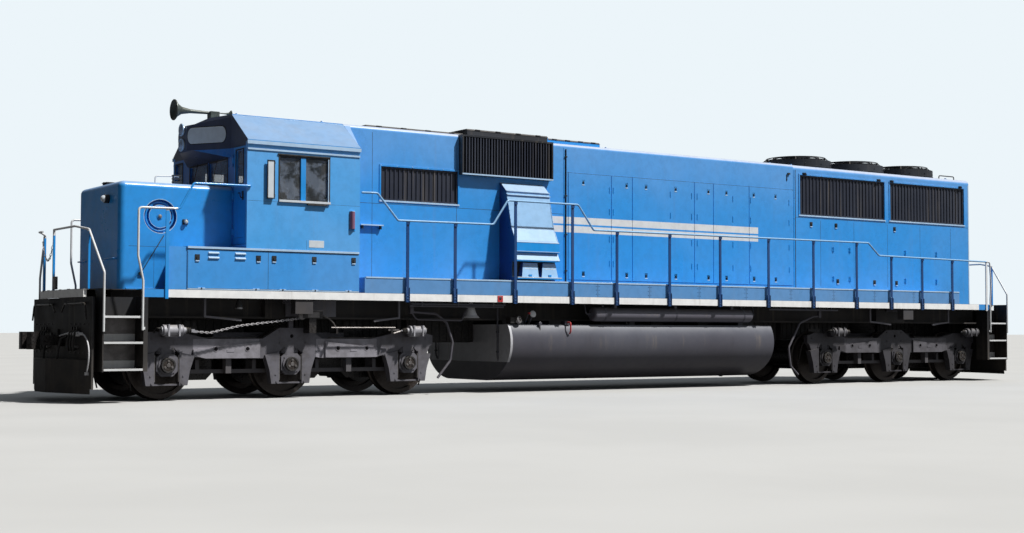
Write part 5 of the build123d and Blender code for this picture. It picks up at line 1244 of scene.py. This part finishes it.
# Under the frame: tank and reservoir fittings
def make_tank_fittings():
    steel = Build("tank_fittings", "tank", 0.0015)
    bright = Build("sight_glasses_and_buttons", "bright")
    red = Build("red_valves_and_switches", "red", 0.001)
    white = Build("white_caps", "white")
    dark = Build("tank_drains_and_ducts", "rubber", 0.002)
    pale = Build("bell_air_pipe", "pipe")
    for _ in sides():
        # fuel filler, sight glass, cut-off box, vent and their pipes
        bright.lathe([(-0.02, 0.066), (0, 0.07), (0.03, 0.062), (0.036, 0.04), (0.01, 0.034)],
                     (2.806, 1.33, 1.225), (-0.3, 0.9, 0.2), 24)
        dark.rod((2.83, 1.18, 1.2), (2.806, 1.325, 1.225), 0.06, 20)
        dark.box(2.86, 2.965, 1.18, 1.33, 1.165, 1.265)
        bright.rod((2.35, 1.33, 0.86), (2.35, 1.33, 1.2), 0.016, 12)
        for z in (0.9, 1.16):
            steel.box(2.32, 2.38, 1.24, 1.35, z - 0.02, z + 0.02)
        red.box(3.252, 3.358, 1.505, 1.522, 1.522, 1.625)
        dark.lathe([(0, 0.026), (0.01, 0.022), (0.012, 0)], (3.305, 1.521, 1.585), OUT, 16)
        white.lathe([(0, 0.056), (0.02, 0.06), (0.032, 0.04), (0.036, 0)], (2.5, 1.32, 1.325), (0, 1, 0.25),
                    24)
        red.lathe([(0, 0.018), (0.04, 0.018), (0.045, 0)], (2.585, 1.32, 1.34), OUT, 16)
        steel.rod((2.5, 1.18, 1.14), (2.5, 1.325, 1.325), 0.02, 12)
        steel.rod((2.585, 1.18, 1.14), (2.585, 1.325, 1.34), 0.012, 12)
        red.tube([(1.753, 1.3, 1.185), (1.753, 1.42, 1.185), (1.753, 1.42, 1.02), (1.753, 1.385, 0.985)],
                 0.014, 10, 0.04)
        steel.box(1.7, 1.8, 1.2, 1.32, 1.14, 1.21)
        # bolts of the tank's brackets, and its drain plugs
        for x in (2.62, 1.35, 0.0, -1.35, -2.8):
            steel.bolt((x, 1.29, 1.06), (0, 1, 0.1), 0.014, 0.012)
        dark.lathe([(0, 0.04), (0.02, 0.035)], (-2.6, 0.5, 0.171), DOWN, 16)
        # reservoir straps, end plugs, pipes and the drain cock
        for x in (0.95, -0.7, -2.4):
            hoop(steel, 0.127, 0.1325, 0.018, (x, 1.29, 1.334), AHEAD, 32)
            steel.bar(x, 0.018, 1.27, 1.31, 1.46, SILL + 0.004)
        plug = [(0, 0.03), (0.016, 0.03), (0.02, 0.018), (0.03, 0.018)]
        steel.lathe(plug, (1.192, 1.29, 1.334), AHEAD, 12)
        steel.lathe(plug, (-2.627, 1.29, 1.334), BEHIND, 12)
        for x0, x1 in ((1.21, 1.32), (-2.64, -2.75)):
            steel.tube([(x0, 1.29, 1.334), (x1, 1.29, 1.334), (x1, 1.25, 1.5)], 0.014, 8)
        dark.rod((0.4, 1.29, 1.21), (0.4, 1.29, 1.17), 0.012, 8)
        dark.box(0.36, 0.42, 1.285, 1.295, 1.165, 1.172)
        # pipe down the front of the tank
        steel.tube([(3.03, 1.02, DECK - 0.012), (3.03, 1.02, 0.6), (2.998, 1.0, 0.52)], 0.016, 8, 0.04)
        for z in (1.0, 0.66):
            steel.box(2.996, 3.05, 1.002, 1.038, z, z + 0.03)
        # pipes along under the walkway
        steel.rod((-3.0, 1.44, 1.46), (-4.9, 1.44, 1.46), 0.016, 10)
        steel.rod((3.15, 1.38, 1.44), (5.0, 1.38, 1.44), 0.018, 10)
        steel.rod((3.15, 1.44, 1.47), (5.0, 1.44, 1.47), 0.012, 10)
        for x in (-3.3, -4.0, -4.7, 3.4, 4.1, 4.8):
            steel.bar(x, 0.012, 1.36, 1.462, 1.485, SILL + 0.001)
            steel.bar(x, 0.012, 1.425, 1.455, 1.442, 1.49)
    # the bell's air pipe, and the horn-shaped drain under the deck ahead of the front truck's middle
    pale.tube([(4.86, 1.222, 1.33), (4.78, 1.238, 1.215), (3.89, 1.238, 1.205), (3.84, 1.235, 1.34),
               (3.775, 1.215, 1.41)], 0.013, 8, 0.04)
    drain = (7.952, 1.3, DECK - 0.013)
    dark.lathe([(0, 0.03), (0.1, 0.03), (0.18, 0.05), (0.24, 0.062)], drain, DOWN, 24)
    bright.lathe([(0.24, 0.06), (0.262, 0.062), (0.27, 0.04)], drain, DOWN, 24)
    # air ducts along the middle, between the beams, and the saddles that the tank hangs from. The dark ducts
    # and the long block over the tank also fill the gap under the frame as painted shade.
    for x0, x1 in ((3.02, 4.38), (-3.22, -4.38)):
        dark.box(x0, x1, -0.22, 0.22, 0.84, 1.3)
        for x in spread(x0, x1, 9):
            dark.bar(x, 0.02, -0.232, 0.232, 0.83, 1.31)
        dark.box(x0 + 0.05, x0 - 0.05, -0.2, 0.2, 1.2, DECK - 0.014)
    for x in (-2.9, -1.75, -0.6, 0.6, 1.75, 2.75):
        dark.bar(x, 0.14, -0.95, 0.95, 1.14, 1.217)
    dark.box(-3.05, 2.9, -0.3, 0.3, 1.14, 1.3)
    finish(steel, bright, red, white, dark, pale)


# End platforms, pilots and hoses. PILOT is the pilots' face along x, and STEPS are the heights of the treads.
PILOT = 10.25
STEPS = (0.472, 0.861, 1.235)


def make_jumper(pale, end):
    """The jumper: a rod, a coiled spring hose and its long loop down the pilot, in a near-white that stands
    in for sunlight on it: painted light.
    """
    x = PILOT + 0.045
    pale.rod((x, -0.16, 0.925), (x, 0.5, 0.985), 0.013, 10)
    coil = []
    for k in range(73):
        a = math.pi * k / 4
        coil.append((x + end * 0.026 * math.cos(a), 0.5 + 0.0065 * k, 0.972 + 0.03 * math.sin(a)))
    pale.tube(coil, 0.007, 6, 0.01)
    pale.tube([(x, 0.97, 0.975), (x, 1.16, 0.975), (x, 1.32, 0.9), (x, 1.41, 0.78), (x, 1.42, 0.62),
               (x, 1.34, 0.44), (x - 0.03, 1.28, 0.4)], 0.011, 8, 0.12)
    for y, z in ((-0.16, 0.925), (0.5, 0.98), (0.99, 0.975), (1.29, 0.405)):
        pale.box(x - 0.048, x + 0.014, y - 0.016, y + 0.016, z - 0.022, z + 0.022)


def make_ends():
    steel = Build("end_fittings", "oily", 0.0015)
    rubber = Build("end_hoses", "rubber")
    white = Build("step_edges", "white", 0.001)
    bright = Build("hose_couplings", "bright")
    dark = Build("step_risers", "worn")
    pale = Build("jumper_hoses", "hose")
    x = PILOT
    for end in ends():
        for side in sides():
            # brake and control hoses: from angle cocks on the pilot to their dummy couplings
            for y, top, drop, reach in ((0.36, 0.93, 0.52, 0.17), (0.62, 1.02, 0.3, 0.1),
                                        (0.74, 1.02, 0.3, 0.1), (0.86, 1.02, 0.3, 0.1)):
                foot = top - drop * 0.8
                cock = [(0, 0.032), (0.02, 0.032), (0.03, 0.02), (0.05, 0.02)]
                steel.lathe(cock, (x - 0.002, y, top), AHEAD, 16)
                steel.box(x + 0.02, x + 0.05, y - 0.012, y + 0.012, top + 0.018, top + 0.06)
                rubber.tube([(x + 0.04, y, top), (x + reach * 0.7, y, top - 0.02),
                             (x + reach, y - 0.02, top - drop * 0.55),
                             (x + reach * 0.72, y - 0.05, top - drop), (x + 0.03, y - 0.07, foot)],
                            0.018, 10, 0.12)
                coupling = [(0, 0.026), (0.05, 0.026), (0.06, 0.018)]
                bright.lathe(coupling, (x - 0.001, y - 0.075, foot), AHEAD, 14)
            # uncoupling lever
            lever = [(0.16, 1.3), (0.3, 1.42), (1.22, 1.42), (1.3, 1.18)]
            steel.tube([(x + 0.05, y, z) for y, z in lever], 0.013)
            for y in (0.42, 1.12):
                steel.box(x - 0.002, x + 0.066, y - 0.012, y + 0.012, 1.4, 1.436)
            # the steps' front edges, tread plates and risers
            for z in STEPS:
                white.box(9.534, 10.112, 1.4985, 1.5145, z - 0.028, z + 0.003)
                for tread in row(9.6, 0.055, 9):
                    for y in (1.25, 1.33, 1.41):
                        steel.bar(tread, 0.014, y - 0.02, y + 0.02, z, z + 0.004)
            for z in STEPS[:2]:
                white.box(9.545, 10.104, 1.196, 1.203, z - 0.002, z + 0.118)
                dark.box(9.545, 10.104, 1.196, 1.201, z + 0.122, z + 0.35)
            if side == end:
                make_jumper(pale, end)
            for y in row(0.45, 0.2, 5):
                for z in (1.12, 0.7):
                    steel.bolt((x - 0.001, y, z), AHEAD, 0.014, 0.012)
        # control receptacle on its bracket at the end rail, and the drop plate's hinges
        steel.box(10.285, 10.318, -0.26, -0.1, 1.645, 1.84)
        dark.lathe([(0, 0.075), (0.012, 0.078), (0.02, 0.06)], (10.3, -0.18, 1.755), AHEAD, 20)
        for y in (-0.7, -0.48, 0.1, 0.5):
            steel.rod((10.31, y - 0.05, 1.628), (10.31, y + 0.05, 1.628), 0.013, 10)
    finish(steel, rubber, white, bright, dark, pale)


def make_chain():
    """The chain across the gap in the front and rear end rails, held at both ends."""
    count, sag = 15, 0.3
    for end, name in ((1, "front"), (-1, "rear")):
        b = Build(name + "_safety_chain", "bright")
        left, right = Vector((end * 10.29, -0.315, 2.4)), Vector((end * 10.29, -0.865, 2.4))
        for k, t in enumerate(spread(0, 1, count)):
            place = left.lerp(right, t) - Vector((0, 0, sag * 4 * t * (1 - t)))
            ahead = Vector((0, right.y - left.y, -sag * 4 * (1 - 2 * t))).normalized()
            across = Vector(AHEAD) if k % 2 else ahead.cross(Vector(AHEAD))
            link = [place + ahead * x + across * y * 15 / 34 for x, y in circle(8, 0.034)]
            b.tube(link + link[:1], 0.0045, 6, 0.008)
        for hook, y in ((left, 0.012), (right, -0.012)):
            b.rod(hook + Vector((0, y, 0)), hook - Vector((0, y * 5 / 3, 0)), 0.008, 8)
        b.done()


# Seats in the cab: crowned cushions on a frame
def cushion(b, low, high, crown, axis):
    """A padded block with rounded sides, its face along an axis swelling by crown and its seams pulled in."""
    steps, power = 14, 5.0
    low, high = Vector(low), Vector(high)
    centre, half = (low + high) / 2, (high - low) / 2
    first, second = [i for i in range(3) if i != axis]
    pad = bmesh.new()
    bmesh.ops.create_cube(pad, size=2.0)
    bmesh.ops.subdivide_edges(pad, edges=pad.edges[:], cuts=steps, use_grid_fill=True)
    copies = {}
    for vertex in pad.verts:
        p = vertex.co
        size = (abs(p.x) ** power + abs(p.y) ** power + abs(p.z) ** power) ** (1 / power)
        q = p / max(size, 1e-6)
        swell = (1 - q[first] ** 2) * (1 - q[second] ** 2)
        seam_depth = 0.1 * math.exp(-((q[first] / 0.05) ** 2)) * (1 - abs(q[second]) ** 3)
        move = crown * swell - seam_depth * half[axis] * 0.6 * swell
        q = Vector(q[i] * half[i] for i in range(3))
        q[axis] += move * (1 if p[axis] >= 0 else -0.3)
        copies[vertex] = b.mesh.verts.new(b.at(centre + q))
    for face in pad.faces:
        b.mesh.faces.new([copies[vertex] for vertex in face.verts])
    pad.free()


def make_seats():
    floor = CAB_FLOOR
    cloth = Build("seat_cushions", "seat")
    stand = Build("seat_frames", "black", 0.001)
    for x, y in ((CAB_FRONT - 0.978, CAB_Y - 0.549), (CAB_FRONT - 1.078, 0.599 - CAB_Y)):
        cushion(cloth, (x - 0.2, y - 0.23, floor + 0.43), (x + 0.23, y + 0.23, floor + 0.53), 0.02, 2)
        cushion(cloth, (x - 0.265, y - 0.215, floor + 0.52), (x - 0.165, y + 0.215, floor + 0.88), 0.02, 0)
        cushion(cloth, (x - 0.255, y - 0.15, floor + 0.88), (x - 0.175, y + 0.15, floor + 1.04), 0.012, 0)
        stand.lathe([(0, 0.16), (0.012, 0.16), (0.03, 0.06), (0.36, 0.055), (0.36, 0.035), (0.42, 0.035)],
                    (x, y, floor), UP, 28)
        stand.bar(x, 0.19, y - 0.18, y + 0.18, floor + 0.405, floor + 0.432)
        for side in (1, -1):
            arm = y + side * 0.245
            back, low, top = x - 0.2, floor + 0.46, floor + 0.7
            stand.tube([(back, arm, floor + 0.44), (back, arm, top), (x + 0.12, arm, top)], 0.011)
            stand.rod((back, y + side * 0.25, low), (back, y + side * 0.16, low), 0.01, 8)
            cushion(cloth, (x - 0.14, arm - 0.032, top), (x + 0.15, arm + 0.032, top + 0.035), 0.004, 2)
    seat = cloth.done()
    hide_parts("cab_seats")
    stand.done()


def make_cab_inside():
    """Levers, gauges and panels of the control stand."""
    floor = CAB_FLOOR
    dark = Build("cab_levers_and_seams", "black")
    bright = Build("cab_gauges", "bright")
    back = CAB_FRONT - 0.228
    for y in row(-0.5, 0.095, 3):
        gauge = (back - 0.3, y, floor + 1.02)
        bright.lathe([(0, 0.045), (0.012, 0.045), (0.014, 0.038)], gauge, (-0.7, 0, 0.7), 20)
    for z in (0.7, 0.8, 0.9):
        dark.rod((back - 0.34, -0.32, floor + z), (back - 0.47, -0.32, floor + z + 0.02), 0.01, 8)
        dark.rod((back - 0.47, -0.36, floor + z + 0.02), (back - 0.47, -0.28, floor + z + 0.02), 0.016, 12)
    wall = CAB_REAR + 0.43
    for z in (0.35, 0.85, 1.3):
        dark.box(wall, wall + 0.006, -0.66, 0.86, floor + z, floor + z + 0.006)
    for y in (-0.3, 0.1, 0.5):
        dark.box(wall, wall + 0.006, y, y + 0.006, floor + 0.06, floor + 1.46)
        bright.box(wall + 0.002, wall + 0.015, y + 0.05, y + 0.08, floor + 1.0, floor + 1.12)
    finish(dark, bright)


# Roof and the rear of the hood
def make_roof():
    blue = Build("roof_bolts_and_lugs", "blue")
    dark = Build("roof_seams", "gasket")
    black = Build("roof_dark_fittings", "black", 0.001)
    bright = Build("rear_lamp_rims", "bright")
    # seams across the hood roof, its bolted strips and lifting lugs
    for half, places in ((0.86, (0, -1.4, -2.8, -4.175)), (0.83, (-5.99, -7.6, -9.2))):
        for x in places:
            dark.bar(x, 0.004, -half, half, ROOF - 0.0005, ROOF + 0.0015)
    for _ in sides():
        for first, y, count in ((0.45, 0.8, 30), (-4.35, 0.79, 34)):
            for x in row(first, -0.154, count):
                blue.bolt((x, y, ROOF), UP, 0.007, 0.006)
        for x in (0.3, -3.9, -4.5, -9.3):
            lifting_lug(blue, x, ROOF + 0.002)
    # hatch hinges and handles
    for x0, x1, half, top in ((3.6, 5.5, 0.8, 4.44), (1.85, 3.56, 0.86, 4.52), (0.6, 1.78, 0.76, 4.5)):
        dark.box(x0 - 0.004, x1 + 0.004, -half - 0.004, half + 0.004, top - 0.03, top - 0.026)
        for _ in sides():
            for x in spread(x0, x1, 4):
                black.rod((x - 0.05, half, top - 0.012), (x + 0.05, half, top - 0.012), 0.012, 10)
                black.bolt((x, half - 0.05, top), UP, 0.01, 0.008)
        for x in spread(x0, x1, 5):
            black.bar(x, 0.012, -half + 0.1, half - 0.1, top, top + 0.012)
    # fan housings' seams and guard clips
    for x in FANS:
        for across, along in circle(12):
            black.bolt((x + 0.732 * across, 0.732 * along, 4.5), (across, along, 0), 0.012, 0.01)
        hoop(black, 0.728, 0.742, 0.006, (x, 0, 4.445), UP, 48)
    # grab irons up the rear
    black.tube([(-9.0, 0.62, ROOF), (-9.0, 0.62, ROOF + 0.1), (-9.5, 0.62, ROOF + 0.1), (-9.5, 0.62, ROOF)],
               0.012, 10, 0.04)
    x = HOOD_REAR
    for z in row(2.05, 0.4, 6):
        blue.tube([(x + 0.002, -0.42, z), (x - 0.06, -0.42, z), (x - 0.06, -0.02, z), (x + 0.002, -0.02, z)],
                  0.01, 10, 0.04)
    # rear face of the hood: blank number boards, lamps and seams
    for y in (-0.56, 0.56):
        black.box(x - 0.006, x, y - 0.24, y + 0.24, 3.9, 4.14)
    for z in (4.18, 3.94):
        bright.lathe([(0, 0.095), (0.03, 0.095), (0.034, 0.075), (0.02, 0.065)], (x + 0.002, 0.12, z), BEHIND,
                     28)
    for y in (-0.45, 0.45):
        dark.box(x - 0.0035, x, y - 0.003, y + 0.003, 1.7, 3.85)
    dark.box(x - 0.0035, x, -0.8, 0.8, 3.847, 3.853)
    finish(blue, dark, black, bright)


make_camera()
make_stage()
dress_nodes()
make_hood_fittings()
make_walkway_duct()
make_blower_duct()
make_nose()
make_cabinets()
make_cab()
make_truck(1, "front")
make_truck(-1, "rear")
make_tank_fittings()
make_ends()
make_chain()
make_seats()
make_cab_inside()
make_roof()
